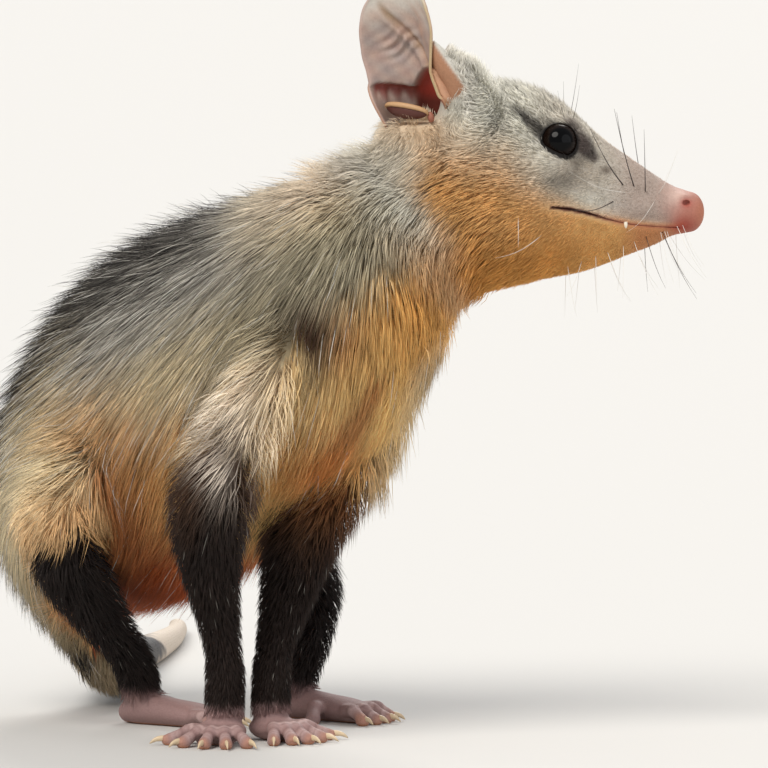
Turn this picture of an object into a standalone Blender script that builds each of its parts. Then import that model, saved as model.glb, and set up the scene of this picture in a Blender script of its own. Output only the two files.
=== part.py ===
"""A white-eared opossum at life size, standing crouched with its head raised and turned to its left.

Lengths below are in millimetres and become metres as each point is placed. The animal looks along +X,
its back slopes down towards -X, its left side faces +Y and its tail lies on the floor towards +Y.
"""

import math
import random

import bmesh
import bpy
import numpy as np
from mathutils import Vector
from mathutils.bvhtree import BVHTree

MM = 0.001
GAP = 0.3
CLEARANCE = 0.8
MIDDLE = (30.0, 150.0)

# Rings of the spine from the muzzle to the tail root, out to the tips of the fur. Each row is the ring's
# centre, the heading and pitch of the axis in degrees, half width, height above, depth below and coat depth.
SPINE = [
    (152.6, -20, 179.3, 0, 0, 4.6, 3.6, 3.6, 0.3),
    (149.3, -20, 179.6, 0, 0, 6.6, 6.9, 7.0, 0.4),
    (144.2, -20, 180.2, 0, 0, 7.9, 8.3, 8.7, 0.6),
    (137.7, -20, 180.6, 0, 0, 9.6, 11.7, 12.3, 0.8),
    (129.5, -20, 181.4, 0, 0, 11.6, 16.6, 16.3, 1.2),
    (121.4, -20, 182.2, 0, 0, 14.0, 21.4, 20.4, 1.6),
    (112.0, -20, 183.6, 0, 0, 18.2, 27.6, 25.2, 2.2),
    (103.0, -20, 185.4, 0, 0, 22.8, 33.2, 29.0, 3.0),
    (93.0, -20, 187.0, 0, 0, 27.0, 36.0, 33.4, 4.0),
    (82.0, -20, 187.6, 0, 2, 29.6, 37.2, 36.6, 5.0),
    (69.0, -20, 184.6, 0, 10, 30.5, 36.6, 36.0, 6.0),
    (59.5, -20, 177.8, -4, 17, 31.0, 34.8, 34.6, 8.0),
    (49.3, -21, 168.0, -14, 26, 34.0, 38.4, 38.0, 10.0),
    (37.5, -20, 156.5, -27, 34, 38.5, 44.5, 43.0, 12.0),
    (24.5, -15, 142.0, -38, 37, 43.0, 54.0, 46.0, 13.0),
    (4.5, -1, 124.0, -44, 34, 46.0, 64.0, 48.0, 14.0),
    (-17.0, 19, 105.0, -45, 29, 48.0, 69.0, 49.0, 14.0),
    (-36.0, 38, 88.0, -45, 31, 48.0, 66.0, 51.0, 14.0),
    (-50.0, 51, 73.0, -45, 44, 44.0, 53.0, 43.0, 14.0),
    (-60.0, 60, 60.0, -44, 64, 33.0, 34.0, 34.0, 12.0),
    (-63.0, 65, 47.0, -42, 88, 21.0, 20.0, 21.0, 9.0),
    (-60.5, 70, 35.0, -40, 104, 14.5, 14.0, 14.0, 6.0),
]
RING_SIDES = 26
TRUNK_SIDES = 20

# The share of the coat that stands over the core of the neck and torso as locks, the share of it that the
# neck keeps clear over the torso, and how much thinner the top of a leg is made for its own locks.
LOCKED = 0.5
SHELL = 0.44
STUB_TRIM = 4.0

# The lengths along the spine at which the muzzle pad, head, neck and torso part.
PAD_END = 9.0
HEAD_END = 104.0
NECK_END = 138.0
# How far apart the rings of each piece stand.
STEPS = {"pad": 3, "head": 5, "face": 4, "neck": 8, "torso": 13, "leg": 9, "thigh": 7, "foot": 5, "tail": 14}

# Rings of the legs from inside the body to the sole: centre, half width and half depth.
LEGS = {
    "foreleg_right": [
        (10, -44, 132, 17, 22),
        (0, -49, 112, 16, 20),
        (-11, -47, 90, 13.5, 17),
        (-13.5, -43, 68, 11, 13.5),
        (-12.0, -39, 52, 9, 10.2),
        (-9.5, -35.5, 37, 7.2, 7.8),
        (-8.2, -33.5, 24, 6.8, 7.0),
        (-8.5, -33, 13, 7.2, 6.4),
        (-8.5, -33, 5, 7.2, 6.0),
    ],
    "foreleg_left": [
        (45, 6, 126, 16, 20),
        (40, 3, 106, 16, 19),
        (24, -3, 82, 13.5, 16),
        (17.5, -8, 67, 12, 14),
        (13.5, -13, 51, 9.8, 11),
        (10, -17, 38, 7.8, 8.4),
        (7.6, -20, 26, 6.8, 7.0),
        (7, -22, 13, 7.2, 6.4),
        (7, -22, 5, 7.2, 6.0),
    ],
    "hindleg_right": [
        (-67, -3, 71, 9, 9),
        (-64, -2, 60, 12, 13.5),
        (-58, 4, 48, 10.5, 12),
        (-50, 13, 35, 8.8, 9.6),
        (-42.5, 20, 24, 7.6, 8),
        (-39, 24, 13, 7.0, 7.0),
        (-38.5, 25, 5, 6.0, 6.0),
    ],
    "hindleg_left": [
        (12, 67, 67, 9, 9),
        (17, 64, 55, 12, 13),
        (20.5, 58, 42, 10, 11),
        (20, 50, 29, 8.2, 9),
        (17, 44.5, 20, 7.4, 7.8),
        (15.2, 43, 13, 7.0, 7.0),
        (15, 43, 5, 6.0, 6.0),
    ],
}
# The thighs, from inside the body to the front of the knee.
THIGHS = {
    "hindleg_right": [
        (-48, 38, 90, 24, 28),
        (-57, 20, 85, 25, 29),
        (-64, 6, 77, 21, 24),
        (-67, -4, 70, 15, 17),
        (-67.5, -10, 66, 6, 7),
    ],
    "hindleg_left": [
        (-36, 52, 90, 24, 28),
        (-18, 60, 84, 24, 27),
        (0, 65, 75, 19, 22),
        (11, 67, 67, 13, 15),
        (17, 68, 62, 5, 6),
    ],
}
LEG_SIDES = 14
LEFTWARD = Vector((0.7, 0.7, 0))
# How many sides the small round pieces have.
SIDES = {"lid": 5, "lip": 6, "canine": 6, "ear": 16, "digit": 7, "claw": 4, "sole": 10, "lock": 4}
# How many faces balls have around and from pole to pole.
BALL = (12, 7)
EYEBALL = (16, 9)
HOLE = (8, 6)
FLOOR = Vector((0, 0, 0))
DOWN = Vector((0, 0, -1))
SIDEWARD = Vector((1, 0, 0))
SLOPE_STEP = 0.002
FORELEGS = ("foreleg_right", "foreleg_left")

# The fraction of each leg's path that stays with the torso, and the height of the wrist or ankle.
IN_TORSO = {"foreleg_right": 0.34, "foreleg_left": 0.42, "hindleg_right": 0.66, "hindleg_left": 0.66}
WRIST_HEIGHT = 13.0

# The tail's centre line, with its half width and half height.
TAIL = [
    (-62, 68, 42, 12.8, 12.8),
    (-59, 72, 29, 12.4, 12.4),
    (-53, 81, 17.5, 11.9, 11.9),
    (-50, 94, 11.4, 11.0, 11.0),
    (-50, 112, 9.6, 9.9, 9.9),
    (-50, 150, 7.9, 8.2, 8.2),
    (-46, 200, 6.3, 6.6, 6.6),
    (-40, 250, 5.0, 5.3, 5.3),
    (-36, 300, 3.8, 4.1, 4.1),
    (-36, 345, 2.8, 3.1, 3.1),
    (-38, 366, 1.6, 1.9, 1.9),
]
TAIL_SIDES = 14
TAIL_ROOT = (-60.5, 70, 35.5)
TAILWARD = Vector((0.2, 0.3, -0.93)).normalized()
TAIL_PARTS = {"tail_base": (0.0, 0.25), "tail_middle": (0.25, 0.62), "tail_tip": (0.62, 1.0)}

# Locks of the coat. Their spacing and length are those of the deepest coat and shrink with it.
LOCKS = {
    "apart": 20.0,
    "length": 37.0,
    "shortest": 15.0,
    "full_coat": 14.0,
    "half_width": 6.4,
    "half_thickness": 1.5,
    "sunk": 3.6,
    "droop": 0.45,
    "sweep": 5.0,
    "seed": 7,
}
# A lock's rings: shares of its length, its rise, its width and its thickness.
LOCK_RINGS = [(0.0, 0.0, 0.66, 1.0), (0.3, 0.5, 1.0, 0.95), (0.66, 0.86, 0.72, 0.66), (1.0, 1.0, 0.12, 0.3)]
# Places for locks are looked for from the first to the last row in steps along the spine and round it, and
# on the top of each leg between two shares of it. None grows where the surface faces along the body.
PLACES = {
    "first": 6.0,
    "last": 10.0,
    "step": 6.0,
    "turns": 44,
    "leg_rows": 6,
    "leg_shares": (0.4, 0.92),
    "leg_coat": 9.0,
    "leg_reach": 1.2,
    "endward": 0.8,
    "free": 0.2,
}
# How many balls along each leg and the tail stand for the room that locks keep clear of.
BALLS = 30

# The head's mirror plane, and places given on the right side of it.
FACE_Y = -20.0
EYE = {"x": 104.4, "out": 15.2, "z": 203.6, "radius": 6.4}
LID = {
    "faces": (0.12, 0.95, 0.22),
    "long": 6.5,
    "high": 5.7,
    "out": 3.2,
    "thick": 1.25,
    "deep": 1.3,
    "tilt": -20,
    "steps": 14,
}
MOUTH = [
    (102.0, 181.9),
    (108.0, 181.2),
    (114.0, 179.8),
    (121.4, 177.5),
    (129.5, 175.7),
    (137.7, 174.9),
    (142.7, 174.6),
]
MOUTH_FRONT = (146, 174.4)
LIP = {"radius": 1.1, "offset": 1.15, "sunk": 0.35}
GROOVE = {"half_height": 0.4, "half_depth": 1.3}
NOSTRIL = {"x": 148.2, "z": 182.8, "radius": 1.4}
CANINE = {"x": 128.0, "z": 175.8, "inside": 0.6, "sunk": 0.8, "length": 2.0, "radius": 0.7, "tapered": 0.7}

EAR = {
    "base": (56.0, -34.5, 213.5),
    "axis": (-0.13, -0.22, 0.96),
    "faces": (-0.52, -0.85, 0.0),
    "height": 47.0,
    "thick": 1.0,
    "set_back": 6.0,
    "rounded": 0.06,
    "faces_across": 12,
    "faces_along": 11,
}
# Round pieces on the ear's axis: the height of each end, and the radius at each.
EAR_PEG = (-4.0, 3.0, 8.6, 7.4)
EAR_MOUND = (-17.0, -4.3, 15.0, 8.6)
EAR_SEAT = (-4.3, 16.0, 8.9, 12.5)
# The ear's half width and the half angle of its curl at shares of its height.
EAR_RINGS = [
    (0.0, 6.0, 118),
    (0.12, 8.2, 112),
    (0.3, 11.8, 86),
    (0.5, 14.4, 66),
    (0.7, 14.8, 54),
    (0.86, 12.2, 46),
    (0.95, 8.4, 42),
    (1.0, 3.2, 40),
]

# Each forefoot: the palm's centre and the heading of each of its five digits in degrees.
FOREFEET = {
    "forefoot_right": ((-9.5, -35.0), (198, 227, 253, 276, 299)),
    "forefoot_left": ((8.0, -24.0), (271, 291, 310, 331, 356)),
}
PALM = {"radii": (8.6, 8.0, 4.4), "height": 4.0}
DIGIT = {"length": 17.0, "from": 4.0, "radius": 2.3, "claw": 5.5, "claw_radius": 1.05, "claw_depth": 1.2}
# A digit's rings and its claw's: share of its length, height over the floor, share of its radius.
DIGIT_RINGS = [(0, 4.4, 1.1), (0.4, 4.4, 1.1), (0.78, 2.2, 0.98), (1.0, 1.7, 0.6)]
CLAW_RINGS = [(-0.4, 2.2, 1.0), (0.5, 2.0, 0.75), (1.0, 0.75, 0.22)]
# Each hind foot: the heel, its heading, and the side of its clawless inner toe.
HINDFEET = {
    "hindfoot_right": ((-45.0, 29.5), -30, 1),
    "hindfoot_left": ((8.5, 47.5), -33, -1),
}
# The sole's rings: distance from the heel, half width, half height.
SOLE = [(0, 3.6, 3.0), (4, 5.8, 5.0), (12, 6.4, 5.4), (22, 7.0, 4.8), (31, 8.0, 4.2), (37, 7.0, 3.4)]
FLATTENED = 0.4
TOES = {
    "lengths": (11.0, 13.0, 13.0, 11.5),
    "from": 32.0,
    "apart": 4.2,
    "spread": 11,
    "radius": 2.3,
    "claw": 4.5,
}
THUMB = {"from": 18.0, "inward": 3.0, "spread": 62, "length": 16.0, "radius": 2.7}


def metres(x, y, z):
    """A point in the scene, with the model's middle at the origin."""
    return Vector(((x - MIDDLE[0]) * MM, (y - MIDDLE[1]) * MM, z * MM))


def in_millimetres(point):
    return Vector((point.x / MM + MIDDLE[0], point.y / MM + MIDDLE[1], point.z / MM))


def row_lengths(rows):
    """How far along the path each row lies."""
    steps = np.linalg.norm(np.diff(np.array(rows, float)[:, :3], axis=0), axis=1)
    return np.concatenate([[0.0], np.cumsum(steps)])


def read_rows(rows, count, start=0.0, end=1.0):
    """The rows read as smooth curves of the length along their first three columns."""
    at = row_lengths(rows)
    rows = np.array(rows, float)
    slopes = np.gradient(rows, at, axis=0)
    want = np.linspace(start, end, count) * at[-1]
    k = np.clip(np.searchsorted(at, want, side="right") - 1, 0, len(at) - 2)
    span = (at[k + 1] - at[k])[:, None]
    t = (want - at[k])[:, None] / span
    return (
        (2 * t**3 - 3 * t**2 + 1) * rows[k]
        + (t**3 - 2 * t**2 + t) * span * slopes[k]
        + (3 * t**2 - 2 * t**3) * rows[k + 1]
        + (t**3 - t**2) * span * slopes[k + 1]
    )


def share_at_height(rows, height):
    """The fraction of a downward path at which it reaches a height."""
    read = read_rows(rows, 400)
    return float(np.argmax(read[:, 2] < height)) / (len(read) - 1)


def spine_frame(heading, pitch):
    """The animal's left and its upward direction at a ring of the spine."""
    h, p = math.radians(heading), math.radians(pitch)
    axis = Vector((math.cos(p) * math.cos(h), math.cos(p) * math.sin(h), math.sin(p)))
    left = Vector((-math.sin(h), math.cos(h), 0))
    return left, axis.cross(left)


def path_slopes(rows, closed):
    points = np.array(rows)[:, :3]
    if closed:
        return np.roll(points, -1, axis=0) - np.roll(points, 1, axis=0)
    return np.gradient(points, axis=0)


def crosswise(slopes, side):
    """Two directions across a path at each of its points, the first one near side."""
    frames = []
    for slope in slopes:
        axis = Vector(slope).normalized()
        left = (side - side.dot(axis) * axis).normalized()
        frames.append((left, axis.cross(left)))
    return frames


def add_ring(bm, centre, left, up, width, above, below, sides):
    """A closed loop of vertices, with one height above its centre and another below it."""
    made = bmesh.ops.create_circle(bm, cap_ends=False, segments=sides, radius=1)["verts"]
    for vertex in made:
        across, rise = vertex.co.x, vertex.co.y
        rise *= above if rise > 0 else below
        vertex.co = metres(*(Vector(centre) + left * across * width + up * rise))
    return made


def edges_of(verts):
    inside = set(verts)
    return list({e for v in verts for e in v.link_edges if e.other_vert(v) in inside})


def close_rings(bm, rings, closed=False):
    """Bridges each ring to the next, and closes the ends."""
    loops = [edges_of(ring) for ring in rings]
    for first, second in zip(loops, loops[1:]):
        bmesh.ops.bridge_loops(bm, edges=first + second)
    if closed:
        bmesh.ops.bridge_loops(bm, edges=loops[-1] + loops[0])
    else:
        bmesh.ops.contextual_create(bm, geom=loops[0])
        bmesh.ops.contextual_create(bm, geom=loops[-1])
    bmesh.ops.recalc_face_normals(bm, faces=bm.faces)


def spine_piece(start, end, step, trims=(0.0, 0.0), sides=RING_SIDES):
    """A length of the body, its coat cut back by one share at its start and another at its end."""
    total = row_lengths(SPINE)[-1]
    count = max(3, round((end - start) / step) + 1)
    bm = bmesh.new()
    rings = []
    for row, trim in zip(read_rows(SPINE, count, start / total, end / total), np.linspace(*trims, count)):
        heading, pitch, width, above, below, coat = row[3:]
        left, up = spine_frame(heading, pitch)
        cut = trim * coat
        rings.append(add_ring(bm, row[:3], left, up, width - cut, above - cut, below - cut, sides))
    close_rings(bm, rings)
    return bm


def tube(rows, side, sides, closed=False, slopes=None):
    """A tube through rows of centre, half width towards side and half depth across it."""
    bm = bmesh.new()
    rings = []
    slopes = path_slopes(rows, closed) if slopes is None else slopes
    for row, (left, up) in zip(rows, crosswise(slopes, side)):
        rings.append(add_ring(bm, row[:3], left, up, row[3], row[4], row[4], sides))
    close_rings(bm, rings, closed)
    return bm


def limb_piece(rows, start, end, step, sides, side=LEFTWARD):
    """A length of a leg or of the tail between two fractions of its path."""
    count = max(3, round(row_lengths(rows)[-1] * (end - start) / step) + 1)
    ahead = read_rows(rows, count, start + SLOPE_STEP, end + SLOPE_STEP)
    behind = read_rows(rows, count, start - SLOPE_STEP, end - SLOPE_STEP)
    slopes = (ahead - behind)[:, :3]
    return tube(read_rows(rows, count, start, end), side, sides, slopes=slopes)


def ball(centre, radii, across=BALL[0], rings=BALL[1]):
    bm = bmesh.new()
    made = bmesh.ops.create_uvsphere(bm, u_segments=across, v_segments=rings, radius=1)["verts"]
    for vertex in made:
        vertex.co = metres(*(Vector(centre) + Vector(c * r for c, r in zip(vertex.co, radii))))
    return bm


def cut_off(bm, place, outward):
    """Removes what lies outward of a plane and closes the flat left there."""
    geometry = bm.verts[:] + bm.edges[:] + bm.faces[:]
    bmesh.ops.bisect_plane(bm, geom=geometry, plane_co=place, plane_no=outward, clear_outer=True)
    bmesh.ops.holes_fill(bm, edges=[e for e in bm.edges if e.is_boundary])
    bmesh.ops.recalc_face_normals(bm, faces=bm.faces)


def spine_plane(at):
    """The place and the tailward direction of the spine's ring at a distance."""
    total = row_lengths(SPINE)[-1]
    row = read_rows(SPINE, 1, at / total, at / total)[0]
    left, up = spine_frame(row[3], row[4])
    return metres(*row[:3]), up.cross(left)


def make_material(name, colour, roughness):
    material = bpy.data.materials.new(name)
    material.use_nodes = True
    shader = material.node_tree.nodes["Principled BSDF"]
    shader.inputs["Base Color"].default_value = (*colour, 1)
    shader.inputs["Roughness"].default_value = roughness
    shader.inputs["Metallic"].default_value = 0
    return material


def make_object(name, bm, material=None):
    mesh = bpy.data.meshes.new(name)
    bmesh.ops.triangulate(bm, faces=bm.faces)
    bm.to_mesh(mesh)
    bm.free()
    if material:
        mesh.materials.append(material)
    mesh.shade_smooth()
    made = bpy.data.objects.new(name, mesh)
    bpy.context.scene.collection.objects.link(made)
    return made


def bodies_of(bm):
    """The sets of vertices that hang together."""
    left, bodies = set(bm.verts), []
    while left:
        seed = left.pop()
        body, edge = {seed}, [seed]
        while edge:
            for link in edge.pop().link_edges:
                found = set(link.verts) - body
                body |= found
                edge.extend(found)
        left -= body
        bodies.append(body)
    return bodies


def keep_largest(target):
    """Drops every closed surface of an object but the largest."""
    bm = bmesh.new()
    bm.from_mesh(target.data)
    bodies = sorted(bodies_of(bm), key=len)
    loose = [vertex for body in bodies[:-1] for vertex in body]
    bmesh.ops.delete(bm, geom=loose, context="VERTS")
    bmesh.ops.triangulate(bm, faces=bm.faces)
    bm.to_mesh(target.data)
    bm.free()


def fuse(target, pieces, operation="UNION"):
    """Joins the pieces to the target, or cuts them from it, and removes them."""
    helpers = bpy.data.collections.new("helpers")
    bpy.context.scene.collection.children.link(helpers)
    for piece in pieces:
        bpy.context.scene.collection.objects.unlink(piece)
        helpers.objects.link(piece)
    boolean = target.modifiers.new("fuse", "BOOLEAN")
    boolean.operation = operation
    boolean.operand_type = "COLLECTION"
    boolean.collection = helpers
    boolean.solver = "MANIFOLD"
    graph = bpy.context.evaluated_depsgraph_get()
    fused = bpy.data.meshes.new_from_object(target.evaluated_get(graph))
    target.modifiers.clear()
    target.data = fused
    for piece in pieces:
        bpy.data.objects.remove(piece)
    bpy.data.collections.remove(helpers)
    keep_largest(target)
    return target


def face_surface():
    """A search tree of the faces of the head and muzzle."""
    bm = spine_piece(0, HEAD_END, STEPS["face"])
    tree = BVHTree.FromBMesh(bm)
    bm.free()
    return tree


def side_point(tree, x, z, sign):
    """Where a level line from the head's middle plane leaves its side, sign -1 being the right."""
    hit = tree.ray_cast(metres(x, FACE_Y, z), Vector((0, sign, 0)))[0]
    return in_millimetres(hit)


def eye_centre(sign):
    return Vector((EYE["x"], FACE_Y + sign * EYE["out"], EYE["z"]))


def lid_ring(sign):
    """The raised rim of both lids, an oval that tilts down towards the nose."""
    ahead, out, rise = LID["faces"]
    outward = Vector((ahead, sign * out, rise)).normalized()
    tilt = math.radians(LID["tilt"])
    along = Vector((math.cos(tilt), 0, math.sin(tilt)))
    along = (along - along.dot(outward) * outward).normalized()
    across = outward.cross(along)
    rows = []
    for step in range(LID["steps"]):
        turn = math.tau * step / LID["steps"]
        place = eye_centre(sign) + outward * LID["out"]
        place += along * LID["long"] * math.cos(turn) + across * LID["high"] * math.sin(turn)
        rows.append((*place, LID["thick"] * LID["deep"], LID["thick"]))
    return tube(rows, outward, SIDES["lid"], closed=True)


def mouth_tube(tree, line, sign, rise, half_height, half_depth, sunk=0.0):
    """A tube along the mouth line of one side, as a lip or as the cutter for the line."""
    rows = []
    for x, z in line:
        point = side_point(tree, x, z + rise, sign)
        rows.append((point.x, point.y - sign * sunk, point.z, half_depth, half_height))
    return tube(rows, Vector((0, 1, 0)), SIDES["lip"])


def canine(tree, sign):
    point = side_point(tree, CANINE["x"], CANINE["z"], sign)
    top = point + Vector((0, -sign * CANINE["inside"], CANINE["sunk"]))
    rows = []
    for share in (0, 0.5, 1):
        radius = CANINE["radius"] * (1 - CANINE["tapered"] * share)
        rows.append((*(top + DOWN * CANINE["length"] * share), radius, radius))
    return tube(rows, Vector((0, 1, 0)), SIDES["canine"])


def ear_frame(sign):
    """The ear's base, its axis, the way its cup faces, and the direction across it."""
    base = Vector(EAR["base"])
    axis = Vector(EAR["axis"]).normalized()
    faces = Vector(EAR["faces"])
    if sign > 0:
        base.y = 2 * FACE_Y - base.y
        axis.y, faces.y = -axis.y, -faces.y
    faces = (faces - faces.dot(axis) * axis).normalized()
    return base, axis, faces, axis.cross(faces)


def ear_shell(sign):
    """A thin leaf, curled nearly into a funnel at its root and open above."""
    base, axis, faces, across = ear_frame(sign)
    at, widths, curls = np.array(EAR_RINGS).T
    bm = bmesh.new()
    across_count, along_count = EAR["faces_across"], EAR["faces_along"]
    verts = bmesh.ops.create_grid(bm, x_segments=across_count, y_segments=along_count, size=1)["verts"]
    for vertex in verts:
        u, v = vertex.co.x, math.sin((vertex.co.y + 1) * math.pi / 4)
        curl = math.radians(np.interp(v, at, curls))
        radius = np.interp(v, at, widths) / math.sin(min(curl, math.pi / 2))
        lean = axis * v * EAR["height"] * (1 - EAR["rounded"] * u * u)
        place = base + lean + across * radius * math.sin(u * curl) + faces * radius * (1 - math.cos(u * curl))
        vertex.co = metres(*(place - faces * EAR["set_back"]))
    bmesh.ops.triangulate(bm, faces=bm.faces)
    bmesh.ops.solidify(bm, geom=bm.faces[:], thickness=EAR["thick"] * MM)
    bmesh.ops.recalc_face_normals(bm, faces=bm.faces)
    return bm


def ear_root(sign, low, high, wide_low, wide_high):
    """A round tapered peg along the ear's axis."""
    base, axis, _, across = ear_frame(sign)
    rows = []
    for share in (0, 0.5, 1):
        radius = wide_low + (wide_high - wide_low) * share
        rows.append((*(base + axis * (low + (high - low) * share)), radius, radius))
    return tube(rows, across, SIDES["ear"])


def digit(start, heading, length, radius, claw):
    """One finger or toe, lifted at its knuckle and pressed flat on its pad, with its claw."""
    way = Vector((math.cos(math.radians(heading)), math.sin(math.radians(heading)), 0))
    side = Vector((-way.y, way.x, 0))
    rows = []
    for share, high, size in DIGIT_RINGS:
        place = start + way * length * share - DOWN * high
        rows.append((*place, radius * size, radius * size))
    pieces = [make_object("digit", tube(rows, side, SIDES["digit"]))]
    if claw:
        rows = []
        for share, high, size in CLAW_RINGS:
            place = start + way * (length + claw * share) - DOWN * high
            radius = DIGIT["claw_radius"] * size
            rows.append((*place, radius, radius * DIGIT["claw_depth"]))
        pieces.append(make_object("claw", tube(rows, side, SIDES["claw"])))
    return pieces


def grown(rows, by):
    """The same path with every half width and half depth larger."""
    return [(*row[:3], row[3] + by, row[4] + by) for row in rows]


def taken_in(rows, by, until):
    """The same path made thinner at its start, and less and less so up to a share of its length."""
    shares = row_lengths(rows) / row_lengths(rows)[-1]
    cuts = [by * max(0.0, 1 - share / until) for share in shares]
    return [(*row[:3], row[3] - cut, row[4] - cut) for row, cut in zip(rows, cuts)]


def foot_stub(name):
    rows = LEGS[name]
    start = share_at_height(rows, WRIST_HEIGHT) + GAP / row_lengths(rows)[-1]
    return limb_piece(rows, start, 1, STEPS["foot"], LEG_SIDES)


def finish_foot(target, pieces):
    fuse(target, pieces)
    bm = bmesh.new()
    bm.from_mesh(target.data)
    cut_off(bm, FLOOR, DOWN)
    bmesh.ops.triangulate(bm, faces=bm.faces)
    bm.to_mesh(target.data)
    bm.free()


def make_forefoot(name, material):
    centre, headings = FOREFEET[name]
    foot = make_object(name, foot_stub(name.replace("forefoot", "foreleg")), material)
    palm = Vector((*centre, 0))
    pieces = [make_object("palm", ball(palm - DOWN * PALM["height"], PALM["radii"]))]
    for heading in headings:
        way = Vector((math.cos(math.radians(heading)), math.sin(math.radians(heading)), 0))
        pieces += digit(palm + way * DIGIT["from"], heading, DIGIT["length"], DIGIT["radius"], DIGIT["claw"])
    finish_foot(foot, pieces)


def make_hindfoot(name, material):
    heel, heading, inner = HINDFEET[name]
    foot = make_object(name, foot_stub(name.replace("hindfoot", "hindleg")), material)
    turn = math.radians(heading)
    way = Vector((math.cos(turn), math.sin(turn), 0))
    side = Vector((-way.y, way.x, 0))
    origin = Vector((*heel, 0))
    rows = [(*(origin + way * at - DOWN * (high - FLATTENED)), wide, high) for at, wide, high in SOLE]
    pieces = [make_object("sole", tube(rows, side, SIDES["sole"]))]
    for step, length in enumerate(TOES["lengths"]):
        place = step - (len(TOES["lengths"]) - 1) / 2
        start = origin + way * TOES["from"] - side * place * TOES["apart"]
        pieces += digit(start, heading - place * TOES["spread"], length, TOES["radius"], TOES["claw"])
    start = origin + way * THUMB["from"] + side * inner * THUMB["inward"]
    pieces += digit(start, heading + inner * THUMB["spread"], THUMB["length"], THUMB["radius"], 0)
    finish_foot(foot, pieces)


def clear_scene():
    for item in list(bpy.data.objects):
        bpy.data.objects.remove(item)


def make_head(fur, skin):
    head = make_object("head", spine_piece(PAD_END + GAP, HEAD_END, STEPS["head"]), fur)
    tree = face_surface()
    lips, cuts = [], []
    for sign in (-1, 1):
        lips.append(make_object("lids", lid_ring(sign)))
        for rise in (LIP["offset"], -LIP["offset"]):
            lip = mouth_tube(tree, MOUTH, sign, rise, LIP["radius"], LIP["radius"], LIP["sunk"])
            lips.append(make_object("lip", lip))
        mound = ear_root(sign, *EAR_MOUND)
        cut_off(mound, *spine_plane(HEAD_END - GAP))
        lips.append(make_object("mound", mound))
        cuts.append(make_object("seat", ear_root(sign, *EAR_SEAT)))
        line = mouth_tube(tree, MOUTH + [MOUTH_FRONT], sign, 0, GROOVE["half_height"], GROOVE["half_depth"])
        cuts.append(make_object("line", line))
        socket = EYE["radius"] + GAP
        cuts.append(make_object("socket", ball(eye_centre(sign), [socket] * 3, *EYEBALL)))
    canines = [make_object("canine", canine(tree, sign)) for sign in (-1, 1)]
    fuse(head, lips)
    fuse(head, cuts, "DIFFERENCE")
    fuse(head, canines)
    pad = make_object("muzzle_pad", spine_piece(0, PAD_END, STEPS["pad"]), skin)
    holes = []
    for sign in (-1, 1):
        point = side_point(tree, NOSTRIL["x"], NOSTRIL["z"], sign)
        holes.append(make_object("nostril", ball(point, [NOSTRIL["radius"]] * 3, *HOLE)))
    fuse(pad, holes, "DIFFERENCE")


def make_eyes(material):
    for name, sign in (("eye_right", -1), ("eye_left", 1)):
        make_object(name, ball(eye_centre(sign), [EYE["radius"]] * 3, *EYEBALL), material)


def make_ears(material):
    for name, sign in (("ear_right", -1), ("ear_left", 1)):
        ear = make_object(name, ear_shell(sign), material)
        fuse(ear, [make_object("peg", ear_root(sign, *EAR_PEG))])


def leg_pieces(name):
    """A leg's upper rows, and the share of them that stays with the torso."""
    upper = THIGHS.get(name, LEGS[name])
    return upper, IN_TORSO[name] - GAP / row_lengths(upper)[-1]


def shoulder(name, by=0.0):
    """The top of a leg, in the torso."""
    upper, parting = leg_pieces(name)
    rows = grown(taken_in(upper, STUB_TRIM, parting), by)
    stub = limb_piece(rows, 0, parting, STEPS["leg"], LEG_SIDES)
    front, tailward = spine_plane(NECK_END + 2 * GAP)
    cut_off(stub, front, -tailward)
    return make_object("stub", stub)


def clearances():
    """The legs and the tail, grown, to be cut from the coat above them."""
    step = STEPS["leg"]
    cutters = [limb_piece(grown(TAIL, CLEARANCE), 0, TAIL_PARTS["tail_base"][1], step, TAIL_SIDES, SIDEWARD)]
    for name, rows in LEGS.items():
        upper, parting = leg_pieces(name)
        cutters.append(limb_piece(grown(upper, CLEARANCE), parting, 1, step, LEG_SIDES))
        if name in THIGHS:
            cutters.append(limb_piece(grown(rows, CLEARANCE), 0, 1, step, LEG_SIDES))
    return [make_object("clearance", cutter) for cutter in cutters]


def keep_clear():
    """Balls along the legs and the tail that no lock may enter: centres, and radii."""
    balls = [read_rows(TAIL, BALLS, 0, TAIL_PARTS["tail_base"][1])]
    for name, rows in LEGS.items():
        upper, parting = leg_pieces(name)
        balls.append(read_rows(upper, BALLS, parting, 1))
        if name in THIGHS:
            balls.append(read_rows(rows, BALLS, 0, 1))
    balls = np.concatenate(balls)
    return balls[:, :3], balls[:, 3:].max(axis=1) + CLEARANCE


def surface_of(targets):
    """One search tree of the faces of several objects."""
    bm = bmesh.new()
    for target in targets:
        bm.from_mesh(target.data)
    tree = BVHTree.FromBMesh(bm)
    bm.free()
    return tree


def trunk_places(start, end):
    """Places round the spine: centre, outward and tailward directions, coat depth, how far to look."""
    total = row_lengths(SPINE)[-1]
    count = round((end - start) / PLACES["step"]) + 1
    for step, row in enumerate(read_rows(SPINE, count, start / total, end / total)):
        left, up = spine_frame(row[3], row[4])
        for turn in range(PLACES["turns"]):
            angle = math.tau * (turn + 0.5 * (step % 2)) / PLACES["turns"]
            outward = left * math.cos(angle) + up * math.sin(angle)
            yield Vector(row[:3]), outward, up.cross(left), row[8], 2 * max(row[5:8])


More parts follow.
